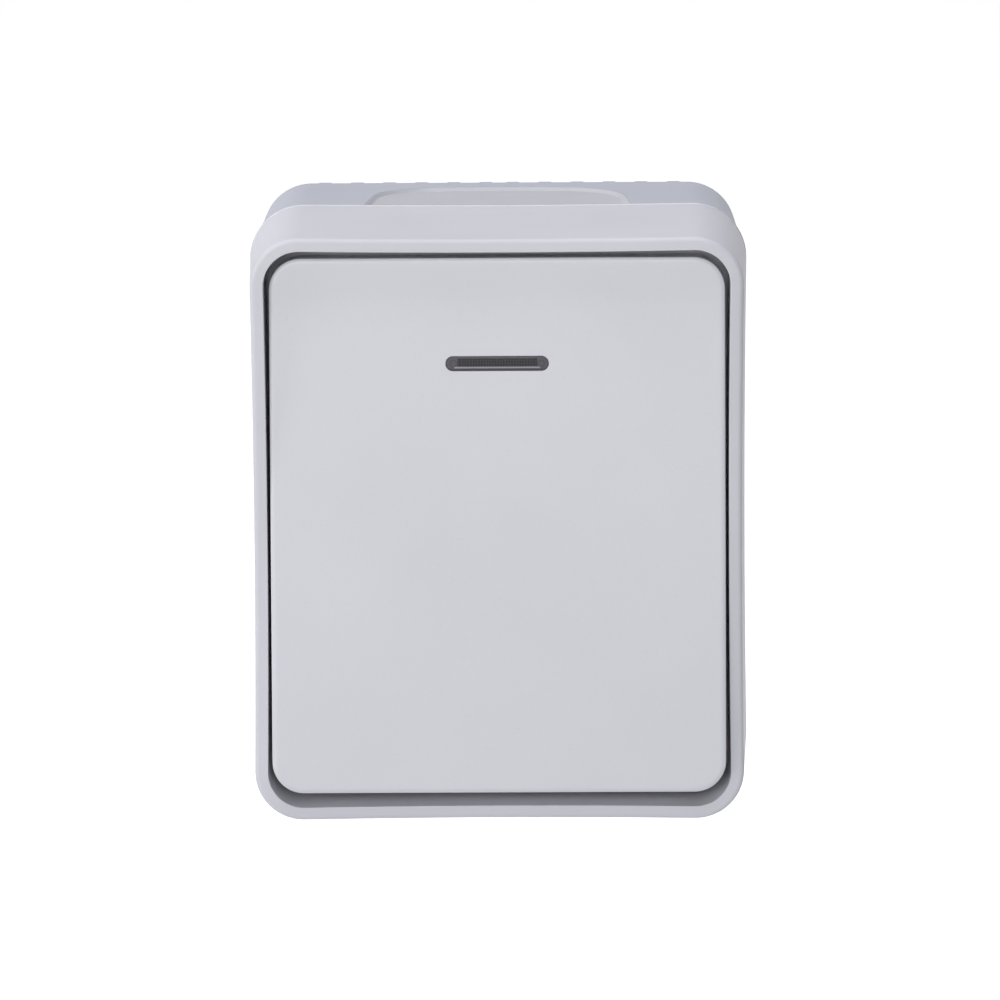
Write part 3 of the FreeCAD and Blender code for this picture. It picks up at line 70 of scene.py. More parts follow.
def boxOutline(wide, tall, corner, pinch=(0.0, 0.0), centre=(0.0, 0.0), cornerSteps=14, bowSteps=14):
    # Closed outline of a rounded rectangle whose sides bow inwards by the pinch. A side of half length b and
    # dip p is an arc whose radius plus the corner's is (p*p + b*b) / (2*p), so it meets the corner arcs
    # tangentially. Every outline has the same number of points, so any two can be joined by faces.
    halfWide, halfTall = wide / 2, tall / 2
    innerWide, innerTall = halfWide - corner, halfTall - corner
    dips = [max(dip, 1e-4) for dip in pinch]
    sums = [(dips[0] ** 2 + innerTall ** 2) / (2 * dips[0]), (dips[1] ** 2 + innerWide ** 2) / (2 * dips[1])]
    leans = [math.asin(innerTall / sums[0]), math.asin(innerWide / sums[1])]
    reach = [halfWide - dips[0] + sums[0] - corner, halfTall - dips[1] + sums[1] - corner]
    runs = []
    for side, (signX, signZ) in enumerate([(1, -1), (1, 1), (-1, 1), (-1, -1)]):
        leanBefore, leanAfter = leans[(side + 1) % 2], leans[side % 2]
        start = math.radians(270 + 90 * side) - leanBefore
        turn = np.linspace(start, start + math.pi / 2 + leanBefore + leanAfter, cornerSteps, endpoint=False)
        runs.append(np.stack([signX * innerWide + corner * np.cos(turn),
                              signZ * innerTall + corner * np.sin(turn)], axis=1))
        facing = math.radians(90 * side)
        radius = sums[side % 2] - corner
        turn = np.linspace(facing + math.pi + leanAfter, facing + math.pi - leanAfter, bowSteps, endpoint=False)
        runs.append(np.stack([reach[side % 2] * math.cos(facing) + radius * np.cos(turn),
                              reach[side % 2] * math.sin(facing) + radius * np.sin(turn)], axis=1))
    return np.concatenate(runs) + np.array(centre)


def gridFaces(rows, columns, closedRows, closedColumns):
    # Quads of a grid of points, as whole index arrays; a closed direction joins its last line to its first.
    down = np.arange(rows if closedRows else rows - 1)
    along = np.arange(columns if closedColumns else columns - 1)
    first, second = np.meshgrid(down, along, indexing="ij")
    nextRow, nextColumn = (first + 1) % rows, (second + 1) % columns
    return np.stack([first * columns + second, nextRow * columns + second,
                     nextRow * columns + nextColumn, first * columns + nextColumn], axis=-1).reshape(-1, 4)


def tubeOfOutlines(rings, closed=True):
    # A surface through a stack of outlines: each ring is (points across and up, out). A closed stack joins
    # its last ring to its first; an open one gets a flat cap at each end.
    points = np.concatenate([np.column_stack([ring[:, 0], np.full(len(ring), -out), ring[:, 1]])
                             for ring, out in rings])
    count = len(rings[0][0])
    faces = gridFaces(len(rings), count, closed, True).tolist()
    if not closed:
        faces.append(list(range(count)))
        faces.append(list(range((len(rings) - 1) * count, len(rings) * count)))
    return points, faces


def prism(corners, axis, low, high):
    # A straight bar: the corners, given as pairs, are carried along the axis (0 across, 1 in, 2 up).
    pairs = np.array(corners, float)
    ends = [np.insert(pairs, axis, level, axis=1) for level in (low, high)]
    count = len(pairs)
    faces = gridFaces(2, count, False, True).tolist()
    return np.concatenate(ends), faces + [list(range(count)), list(range(count, 2 * count))]


def rod(centre, radius, low, high, steps=24):
    # A round bar along the out direction: the centre plus the radius times cosine and sine.
    turn = np.linspace(0, 2 * math.pi, steps, endpoint=False)
    ring = np.column_stack([centre[0] + radius * np.cos(turn), centre[1] + radius * np.sin(turn)])
    return tubeOfOutlines([(ring, low), (ring, high)], closed=False)


def joinShapes(shapes):
    # Puts the points of several shapes in one list and counts the faces' corners on from shape to shape.
    points, faces, start = [], [], 0
    for corners, sides in shapes:
        points.append(corners)
        faces.extend([[start + index for index in side] for side in sides])
        start += len(corners)
    return np.concatenate(points), faces


def turnOnPivot(points, angle, out):
    # Turns points about the across axis and sets them at the pivot, which lies out from the wall.
    tilt = math.radians(angle)
    x, y, z = points.T
    return np.column_stack([x, y * math.cos(tilt) - z * math.sin(tilt) - out,
                            y * math.sin(tilt) + z * math.cos(tilt)])


def cleanMesh(mesh, mergeAt=0.0005, flatten=False):
    # Merges doubles and points every face outwards; flatten also joins the triangles of flat faces.
    work = bmesh.new()
    work.from_mesh(mesh)
    bmesh.ops.remove_doubles(work, verts=work.verts, dist=mergeAt * mm)
    if flatten:
        bmesh.ops.dissolve_limit(work, angle_limit=math.radians(flatAngle), verts=work.verts, edges=work.edges)
    bmesh.ops.recalc_face_normals(work, faces=work.faces)
    work.to_mesh(mesh)
    work.free()


def finishPiece(piece, body, nodes, material, sharpAngle=38.0):
    # Gives a piece its material, smooth shading with crisp edges, its body and the nodes that it replaces.
    piece.data.materials.clear()
    piece.data.materials.append(material)
    piece.data.shade_smooth()
    piece.data.set_sharp_from_angle(angle=math.radians(sharpAngle))
    weighted = piece.modifiers.new("evenNormals", "WEIGHTED_NORMAL")
    weighted.keep_sharp = True
    weighted.weight = normalWeight
    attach(piece, body)
    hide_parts(*nodes)
    return piece


def makePiece(name, points, faces):
    # A named piece in the scene from points in millimetres and faces as lists of their indices.
    mesh = bpy.data.meshes.new(name)
    mesh.from_pydata((np.asarray(points) * mm).tolist(), [], faces)
    mesh.update()
    cleanMesh(mesh)
    piece = bpy.data.objects.new(name, mesh)
    bpy.context.scene.collection.objects.link(piece)
    return piece


# Materials

def hexToLinear(colour):
    # An sRGB hex colour as linear red, green, blue and alpha.
    levels = [int(colour[i:i + 2], 16) / 255 for i in (1, 3, 5)]
    return [c / 12.92 if c <= 0.04045 else ((c + 0.055) / 1.055) ** 2.4 for c in levels] + [1.0]


def addNode(tree, kind, settings=None, links=None):
    # Adds one node. A setting is one of its properties or the value of an input, and a link feeds an input.
    node = tree.nodes.new(kind)
    for name, value in (settings or {}).items():
        if isinstance(name, str) and hasattr(node, name):
            setattr(node, name, value)
        else:
            node.inputs[name].default_value = value
    for name, socket in (links or {}).items():
        tree.links.new(socket, node.inputs[name])
    return node


def newMaterial(name):
    # An empty material with its shader and output, and the object's own coordinates for the textures.
    material = bpy.data.materials.new(name)
    material.use_nodes = True
    tree = material.node_tree
    tree.nodes.clear()
    shader = addNode(tree, "ShaderNodeBsdfPrincipled")
    addNode(tree, "ShaderNodeOutputMaterial", links={"Surface": shader.outputs["BSDF"]})
    place = addNode(tree, "ShaderNodeTexCoord").outputs["Object"]
    return material, tree, shader, place


def perMetre(sizeMm):
    # Texture scale whose cells are about this many millimetres.
    return 1.0 / (sizeMm * mm)


def makeMouldedPlastic(look):
    # Injection-moulded thermoplastic: one even colour that drifts by a shade over the part where the melt
    # flowed, and a fine spark-eroded grain that keeps the gloss low and broken.
    material, tree, shader, place = newMaterial(look["name"])
    flow = addNode(tree, "ShaderNodeTexNoise", {"Scale": perMetre(look["flow"]), "Detail": 2.0},
                   {"Vector": place})
    tone = addNode(tree, "ShaderNodeValToRGB", links={"Fac": flow.outputs["Fac"]})
    tone.color_ramp.elements[0].position = 0.3
    tone.color_ramp.elements[1].position = 0.7
    tone.color_ramp.elements[0].color = hexToLinear(look["deep"])
    tone.color_ramp.elements[1].color = hexToLinear(look["pale"])
    grain = addNode(tree, "ShaderNodeTexNoise", {"Scale": perMetre(look["grain"]), "Detail": 3.0,
                                                 "Roughness": 0.6}, {"Vector": place})
    gloss = addNode(tree, "ShaderNodeMapRange", {"From Min": 0.3, "From Max": 0.7, "To Min": look["smooth"],
                                                 "To Max": look["rough"]}, {"Value": grain.outputs["Fac"]})
    bump = addNode(tree, "ShaderNodeBump", {"Strength": look["bump"], "Distance": look["grainDeep"] * mm},
                   {"Height": grain.outputs["Fac"]})
    shader.inputs["IOR"].default_value = look["ior"]
    shader.inputs["Specular IOR Level"].default_value = look["specular"]
    tree.links.new(tone.outputs["Color"], shader.inputs["Base Color"])
    tree.links.new(gloss.outputs["Result"], shader.inputs["Roughness"])
    tree.links.new(bump.outputs["Normal"], shader.inputs["Normal"])
    return material


# Light grey ASA with ultraviolet stabiliser, as outdoor fittings have. The real grain of about 0.05 mm is
# too fine to show, so it is drawn about four times as coarse.
asaGrain = {"grain": 0.22, "grainDeep": 0.012, "bump": 0.10, "flow": 22.0, "smooth": 0.36, "rough": 0.46,
            "ior": 1.52, "specular": 0.28}
# The rocker's mould is polished further than the frame's, so it is a little glossier.
rockerAsa = makeMouldedPlastic(dict(asaGrain, name="mouldedAsaRocker", deep="#cacacf", pale="#cdcdd2",
                                    specular=0.45, smooth=0.26, rough=0.36))
frameAsa = makeMouldedPlastic(dict(asaGrain, name="mouldedAsaFrame", deep="#c9c9ce", pale="#cdcdd2"))
# The box has a coarser grain than the frame and is drawn a darker, bluer grey of the same plastic.
boxAsa = makeMouldedPlastic(dict(asaGrain, name="mouldedAsaBox", deep="#b1b4bd", pale="#b4b8c0",
                                 smooth=0.42, rough=0.52))

# Glass-filled nylon of the mechanism and cradle: off-white, a little duller and more mottled.
nylonWhite = makeMouldedPlastic({"name": "mouldedNylonWhite", "deep": "#b9b8b2", "pale": "#c6c5bf",
                                 "flow": 9.0, "grain": 0.35, "grainDeep": 0.02, "bump": 0.2,
                                 "smooth": 0.42, "rough": 0.6, "ior": 1.53, "specular": 0.5})

# Dark polyester lid of the mechanism, glossier than the nylon under it.
polyesterDark = makeMouldedPlastic({"name": "mouldedPolyesterDark", "deep": "#434248", "pale": "#4d4c52",
                                    "flow": 12.0, "grain": 0.3, "grainDeep": 0.015, "bump": 0.15,
                                    "smooth": 0.34, "rough": 0.5, "ior": 1.57, "specular": 0.5})


def makeSoftElastomer(look):
    # Soft thermoplastic rubber: dull, with a faint sheen at grazing angles and a fine bloom of paler specks.
    material, tree, shader, place = newMaterial(look["name"])
    cloud = addNode(tree, "ShaderNodeTexNoise", {"Scale": perMetre(look["bloom"]), "Detail": 4.0},
                    {"Vector": place})
    tone = addNode(tree, "ShaderNodeValToRGB", links={"Fac": cloud.outputs["Fac"]})
    tone.color_ramp.elements[0].color = hexToLinear(look["deep"])
    tone.color_ramp.elements[1].color = hexToLinear(look["pale"])
    pores = addNode(tree, "ShaderNodeTexVoronoi", {"Scale": perMetre(look["pore"])}, {"Vector": place})
    bump = addNode(tree, "ShaderNodeBump", {"Strength": 0.15, "Distance": look["poreDeep"] * mm},
                   {"Height": pores.outputs["Distance"]})
    shader.inputs["Roughness"].default_value = look["rough"]
    shader.inputs["IOR"].default_value = 1.5
    shader.inputs["Specular IOR Level"].default_value = look["specular"]
    shader.inputs["Sheen Weight"].default_value = look["sheen"]
    shader.inputs["Sheen Roughness"].default_value = 0.5
    tree.links.new(tone.outputs["Color"], shader.inputs["Base Color"])
    tree.links.new(bump.outputs["Normal"], shader.inputs["Normal"])
    return material


entryElastomer = makeSoftElastomer({"name": "mouldedElastomerEntry", "deep": "#b9babf", "pale": "#c1c2c6",
                                    "bloom": 6.0, "pore": 0.4, "poreDeep": 0.01, "rough": 0.55,
                                    "sheen": 0.08, "specular": 0.28})
sealRubber = makeSoftElastomer({"name": "mouldedRubberSeal", "deep": "#232326", "pale": "#303033",
                                "bloom": 3.0, "pore": 0.5, "poreDeep": 0.03, "rough": 0.72, "sheen": 0.2,
                                "specular": 0.28})


def makeStampedMetal(look):
    # Stamped and plated strip: metallic, with long fine drawing lines along the strip, which break the
    # highlight, and a cloudy tarnish that dulls it in patches.
    material, tree, shader, place = newMaterial(look["name"])
    stretch = addNode(tree, "ShaderNodeMapping", {"Scale": look["lines"]}, {"Vector": place})
    drawn = addNode(tree, "ShaderNodeTexNoise", {"Scale": perMetre(look["lineWide"]), "Detail": 2.0},
                    {"Vector": stretch.outputs["Vector"]})
    cloud = addNode(tree, "ShaderNodeTexNoise", {"Scale": perMetre(look["tarnish"]), "Detail": 3.0},
                    {"Vector": place})
    tone = addNode(tree, "ShaderNodeValToRGB", links={"Fac": cloud.outputs["Fac"]})
    tone.color_ramp.elements[0].position = 0.35
    tone.color_ramp.elements[1].position = 0.75
    tone.color_ramp.elements[0].color = hexToLinear(look["pale"])
    tone.color_ramp.elements[1].color = hexToLinear(look["deep"])
    gloss = addNode(tree, "ShaderNodeMapRange", {"To Min": look["smooth"], "To Max": look["rough"]},
                    {"Value": drawn.outputs["Fac"]})
    bump = addNode(tree, "ShaderNodeBump", {"Strength": 0.2, "Distance": look["lineDeep"] * mm},
                   {"Height": drawn.outputs["Fac"]})
    shader.inputs["Metallic"].default_value = 1.0
    tree.links.new(tone.outputs["Color"], shader.inputs["Base Color"])
    tree.links.new(gloss.outputs["Result"], shader.inputs["Roughness"])
    tree.links.new(bump.outputs["Normal"], shader.inputs["Normal"])
    return material


zincSteel = makeStampedMetal({"name": "zincPlatedSteel", "pale": "#c9ccd1", "deep": "#a9adb4",
                              "lines": (1.0, 1.0, 0.08), "lineWide": 0.15, "lineDeep": 0.01,
                              "tarnish": 5.0, "smooth": 0.24, "rough": 0.42})
stampedBrass = makeStampedMetal({"name": "stampedBrass", "pale": "#e2c27a", "deep": "#b98f4a",
                                 "lines": (0.08, 1.0, 1.0), "lineWide": 0.12, "lineDeep": 0.008,
                                 "tarnish": 4.0, "smooth": 0.2, "rough": 0.36})


def makeLampGlass():
    # Blown soda glass of a small neon lamp: clear, smooth, greenish where it is thick.
    material, tree, shader, place = newMaterial("blownGlassLamp")
    ripple = addNode(tree, "ShaderNodeTexNoise", {"Scale": perMetre(2.5), "Detail": 1.0}, {"Vector": place})
    bump = addNode(tree, "ShaderNodeBump", {"Strength": 0.1, "Distance": 0.02 * mm},
                   {"Height": ripple.outputs["Fac"]})
    shader.inputs["Base Color"].default_value = hexToLinear("#e6efea")
    shader.inputs["Roughness"].default_value = 0.04
    shader.inputs["IOR"].default_value = 1.52
    shader.inputs["Transmission Weight"].default_value = 0.85
    tree.links.new(bump.outputs["Normal"], shader.inputs["Normal"])
    return material


def makeSmokedLens():
    # Moulded smoked polycarbonate: nearly black where the light guide behind it is cut into dark bars, paler
    # and milky at the plain round ends, with a painted highlight along the guide's ridge and painted shade
    # under it.
    # The tone comes from the mesh.
    material, tree, shader, place = newMaterial("smokedPolycarbonateLens")
    tone = addNode(tree, "ShaderNodeAttribute", {"attribute_name": "lensTone"})
    ramp = addNode(tree, "ShaderNodeValToRGB", links={"Fac": tone.outputs["Fac"]})
    ramp.color_ramp.elements[0].color = hexToLinear("#0e0c0f")
    ramp.color_ramp.elements[1].color = hexToLinear("#aeacb2")
    middle = ramp.color_ramp.elements.new(0.5)
    middle.color = hexToLinear("#57555b")
    haze = addNode(tree, "ShaderNodeTexNoise", {"Scale": perMetre(0.5), "Detail": 2.0}, {"Vector": place})
    gloss = addNode(tree, "ShaderNodeMapRange", {"To Min": 0.22, "To Max": 0.38},
                    {"Value": haze.outputs["Fac"]})
    shader.inputs["IOR"].default_value = 1.58
    shader.inputs["Specular IOR Level"].default_value = 0.15
    tree.links.new(ramp.outputs["Color"], shader.inputs["Base Color"])
    tree.links.new(gloss.outputs["Result"], shader.inputs["Roughness"])
    return material


smokedLens = makeSmokedLens()
lampGlass = makeLampGlass()
print("stage: materials made")


# Front frame: a drafted tube with pinched sides, open to the front as a deep well for the rocker.
frameSizes = {
    "wide": 70.0, "tall": 84.2, "corner": 6.9, "pinch": (0.27, 0.22), "frontOut": 54.0, "rearOut": 26.0,
    "draft": 2.1, "frontRound": 0.75, "rearRound": 0.12, "rimWide": 1.87, "rimCorner": 5.05, "rimRound": 0.1,
    "rimFall": 0.07, "lipWide": 0.3, "lipHigh": 0.12, "lipRamp": 2.6, "stations": (38.0, 46.0, 52.0),
    "wellDraft": 0.5, "lowerLean": 8.0, "wellTop": 2.0, "wellOut": 43.0, "wellRound": 0.6, "floorOut": 41.4,
    "collarWide": 50.8, "collarCorner": 3.2, "collarOut": 43.9, "windowWide": 48.4, "windowCorner": 2.0,
    "collarRound": 0.3, "ledgeOut": 34.5, "skirtWall": 1.7, "ledgeWide": 1.6,
    "hookReach": 1.0, "hookStart": 14.0, "hookLong": 8.0, "hookRear": 27.0, "hookRise": (0.0, 1.6, 2.7, 3.6),
    "hookWallOut": 33.0, "hookRoot": 0.4,
}


def makeFrontFrame():
    s = frameSizes
    draft = math.tan(math.radians(s["draft"]))
    wellDraft = math.tan(math.radians(s["wellDraft"]))
    rearWide = 2 * (s["frontOut"] - s["rearOut"]) * draft
    ledgeGrow = 2 * (s["frontOut"] - s["ledgeOut"]) * draft
    ledgeInset = 2 * (s["skirtWall"] + s["ledgeWide"])
    families = {
        "outer": (s["wide"], s["tall"], s["corner"], s["pinch"]),
        "opening": (s["wide"] - 2 * s["rimWide"], s["tall"] - 2 * s["rimWide"], s["rimCorner"], s["pinch"]),
        "collar": (s["collarWide"], s["collarWide"], s["collarCorner"], (0, 0)),
        "window": (s["windowWide"], s["windowWide"], s["windowCorner"], (0, 0)),
        "ledge": (s["wide"] + ledgeGrow - ledgeInset, s["tall"] + ledgeGrow - ledgeInset, s["rimCorner"],
                  s["pinch"]),
        "skirt": (s["wide"] + rearWide - 2 * s["skirtWall"], s["tall"] + rearWide - 2 * s["skirtWall"],
                  s["corner"], s["pinch"]),
    }
    rings = []

    def addRings(family, profile):
        # Each (offset, out) pair is the family's outline, grown by the offset, at that distance out. The lower
        # half of the opening is squeezed upwards with depth, which leans the well's lower wall to the front.
        wide, tall, corner, pinch = families[family]
        for offset, out in profile:
            ring = boxOutline(wide + 2 * offset, tall + 2 * offset, corner + offset, pinch)
            if family == "opening":
                rise = (s["frontOut"] - out) * math.tan(math.radians(s["lowerLean"]))
                ring[:, 1] = np.where(ring[:, 1] < 0, ring[:, 1] * (1 - 2 * rise / tall), ring[:, 1])
            rings.append((ring, out))

    rearOffset = (s["frontOut"] - s["rearOut"]) * draft
    leanBack = math.sin(math.radians(s["draft"]))
    roundInset = s["frontRound"] * (1 - leanBack) / math.cos(math.radians(s["draft"]))
    rearRound, rimRound, collarRound = s["rearRound"], s["rimRound"], s["collarRound"]
    addRings("outer", arcRun((rearOffset - rearRound, s["rearOut"] + rearRound), rearRound, -90, s["draft"], 5))
    # A fine lip runs round the tube's rear edge, with a shallow ramp that sinks towards it from the front.
    lipFront = s["rearOut"] + s["lipWide"]
    stations = [(lipFront, 0), (lipFront + s["lipHigh"], s["lipHigh"]), (lipFront + s["lipRamp"], 0)]
    stations += [(out, 0) for out in s["stations"]]
    addRings("outer", [((s["frontOut"] - out) * draft - deep, out) for out, deep in stations])
    # The rim falls a little from the opening's edge towards the outer round.
    addRings("outer", arcRun((-roundInset, s["frontOut"] - s["frontRound"] - s["rimFall"]), s["frontRound"],
                             s["draft"], 90, 10))
    addRings("opening", arcRun((rimRound, s["frontOut"] - rimRound), rimRound, 90, 180, 5))
    depthOffset = -(s["frontOut"] - s["wellOut"]) * wellDraft
    addRings("opening", [(-s["wellTop"] * wellDraft, s["frontOut"] - s["wellTop"])])
    addRings("opening", arcRun((depthOffset - s["wellRound"], s["wellOut"] + s["wellRound"]), s["wellRound"],
                               0, -90, 6))
    addRings("collar", [(0, s["wellOut"])])
    addRings("collar", arcRun((-collarRound, s["collarOut"] - collarRound), collarRound, 0, 90, 5))
    addRings("window", arcRun((collarRound, s["collarOut"] - collarRound), collarRound, 90, 180, 5))
    addRings("window", [(0, s["floorOut"])])
    addRings("ledge", [(-(s["floorOut"] - s["ledgeOut"]) * draft, s["floorOut"]), (0, s["ledgeOut"])])
    addRings("skirt", [(-(s["ledgeOut"] - s["rearOut"]) * draft, s["ledgeOut"])])
    addRings("skirt", [(0, s["rearOut"] + rearRound), (rearRound, s["rearOut"])])
    shapes = [tubeOfOutlines(rings)]
    # Four snap hooks inside the skirt, each a bar with a leaning lead-in, a flat tip and a steep catch.
    wall = s["wide"] / 2 + (s["frontOut"] - s["hookWallOut"]) * draft - s["skirtWall"]
    root, tip = wall + s["hookRoot"], wall - s["pinch"][0] - s["hookReach"]
    for signX in (1, -1):
        for signZ in (1, -1):
            low, high = sorted((signZ * s["hookStart"], signZ * (s["hookStart"] + s["hookLong"])))
            profile = [(signX * reach, -s["hookRear"] - rise)
                       for reach, rise in zip((root, tip, tip, root), s["hookRise"])]
            shapes.append(prism(profile, 2, low, high))
    piece = makePiece("frontFrameShell", *joinShapes(shapes))
    return finishPiece(piece, "housing", ["front_frame"], frameAsa)


makeFrontFrame()
print("stage: front frame made")


# Rocker: a large flat cap with a skirt all round, drawn about its pivot and turned to its rest.
rockerSizes = {
    "wide": 64.76, "tall": 76.48, "corner": 4.5, "face": 9.4, "rear": 1.9, "edgeRound": 0.25, "cap": 2.2,
    "crownRound": 1.8, "crownAngle": 18.0, "flatBand": 0.15, "wall": 1.8, "innerRound": 0.4, "rearRound": 0.2,
    "slotWide": 14.64, "slotTall": 2.09, "slotUp": 23.2, "slotRound": 0.12, "slotFlat": 0.02,
    "ribX": 13.0, "ribZ": 31.0, "ribThick": 1.2, "ribDeep": 1.6,
    "studAt": 10.0, "studRound": 2.2, "studFront": 4.9, "pinRound": 1.1, "sink": 0.1,
    "pivotOut": 45.1, "tilt": -4.7,
}


def makeRocker():
    s = rockerSizes
    capRear = s["face"] - s["cap"]
    innerWide, innerTall = s["wide"] - 2 * s["wall"], s["tall"] - 2 * s["wall"]
    families = {
        "cap": (s["wide"], s["tall"], s["corner"], 0.0),
        "inside": (innerWide, innerTall, s["corner"] - s["wall"], 0.0),
        "slot": (s["slotWide"], s["slotTall"], s["slotTall"] / 2 - s["slotFlat"], s["slotUp"]),
    }
    rings = []

    def addRings(family, profile):
        wide, tall, corner, up = families[family]
        for offset, out in profile:
            ring = boxOutline(wide + 2 * offset, tall + 2 * offset, corner + offset, centre=(0, up))
            rings.append((ring, out))

    slotRound, innerRound = s["slotRound"], s["innerRound"]
    edgeRound, rearRound = s["edgeRound"], s["rearRound"]
    addRings("slot", [(0, capRear)])
    addRings("slot", arcRun((slotRound, s["face"] - slotRound), slotRound, 180, 90, 5))
    # The flat face turns down through a wide soft arc first and then through the tight one of the edge.
    crown, meet = s["crownRound"], math.radians(90 - s["crownAngle"])
    crownInset = edgeRound + (crown - edgeRound) * math.cos(meet)
    edgeOut = s["face"] - crown + (crown - edgeRound) * math.sin(meet)
    addRings("cap", [(-crownInset - s["flatBand"], s["face"])])
    addRings("cap", arcRun((-crownInset, s["face"] - crown), crown, 90, 90 - s["crownAngle"], 6))
    addRings("cap", arcRun((-edgeRound, edgeOut), edgeRound, 90 - s["crownAngle"], 0, 6)[1:])
    addRings("cap", arcRun((-rearRound, s["rear"] + rearRound), rearRound, 0, -90, 4))
    addRings("inside", [(0, s["rear"])])
    addRings("inside", arcRun((-innerRound, capRear - innerRound), innerRound, 0, 90, 5))
    shapes = [tubeOfOutlines(rings)]
    # Ribs, studs and pins under the cap. Their ends sink a little into what carries them.
    half, ribFront, ribRear = s["ribThick"] / 2, -capRear - s["sink"], -(capRear - s["ribDeep"])
    halfWide, halfTall = innerWide / 2 + 2 * s["sink"], innerTall / 2 + 2 * s["sink"]
    for sign in (1, -1):
        x, z = sign * s["ribX"], sign * s["ribZ"]
        shapes.append(prism([(x - half, ribFront), (x + half, ribFront), (x + half, ribRear),
                             (x - half, ribRear)], 2, -halfTall, halfTall))
        shapes.append(prism([(ribFront, z - half), (ribFront, z + half), (ribRear, z + half),
                             (ribRear, z - half)], 0, -halfWide, halfWide))
        for signZ in (1, -1):
            middle = (sign * s["studAt"], signZ * s["studAt"])
            shapes.append(rod(middle, s["studRound"], s["studFront"], capRear + s["sink"]))
            shapes.append(rod(middle, s["pinRound"], s["rear"], s["studFront"] + s["sink"]))
    points, faces = joinShapes(shapes)
    piece = makePiece("rockerCap", turnOnPivot(points, s["tilt"], s["pivotOut"]), faces)
    return finishPiece(piece, "rocker", ["rocker"], rockerAsa)


makeRocker()
print("stage: rocker made")


# Indicator lens: a slim bar with a light guide cut into bars, a ridge below it that carries a painted
# highlight, with painted shade under it, and plain round ends. The tones run from 0, nearly black, to 1, pale.
lensSizes = {
    "wide": 14.6, "tall": 2.05, "up": 23.2, "top": 9.35, "bottom": 7.2, "lip": 1.3, "lipThick": 1.0,
    "edgeRound": 0.12, "barPitch": 0.39, "barHigh": 0.015, "barsHalf": 5.7, "barsLow": -0.43,
    "barsHigh": 0.78, "lineUp": -0.57, "lineWide": 0.17, "lineHigh": 0.03, "lineHalf": 6.15,
    "shadeUp": -0.84, "shadeWide": 0.1, "pinAt": 6.25, "pinRound": 0.45, "pinWide": 0.12,
    "endTone": 0.42, "barTone": 0.01, "gapTone": 0.14, "paintedHighlightTone": 0.9, "paintedShadeTone": 0.2, "pinTone": 0.14,
    "wallTone": 0.4, "fadeAlong": 0.08, "fadeUp": 0.06, "stepsAlong": 420, "stepsUp": 60,
}


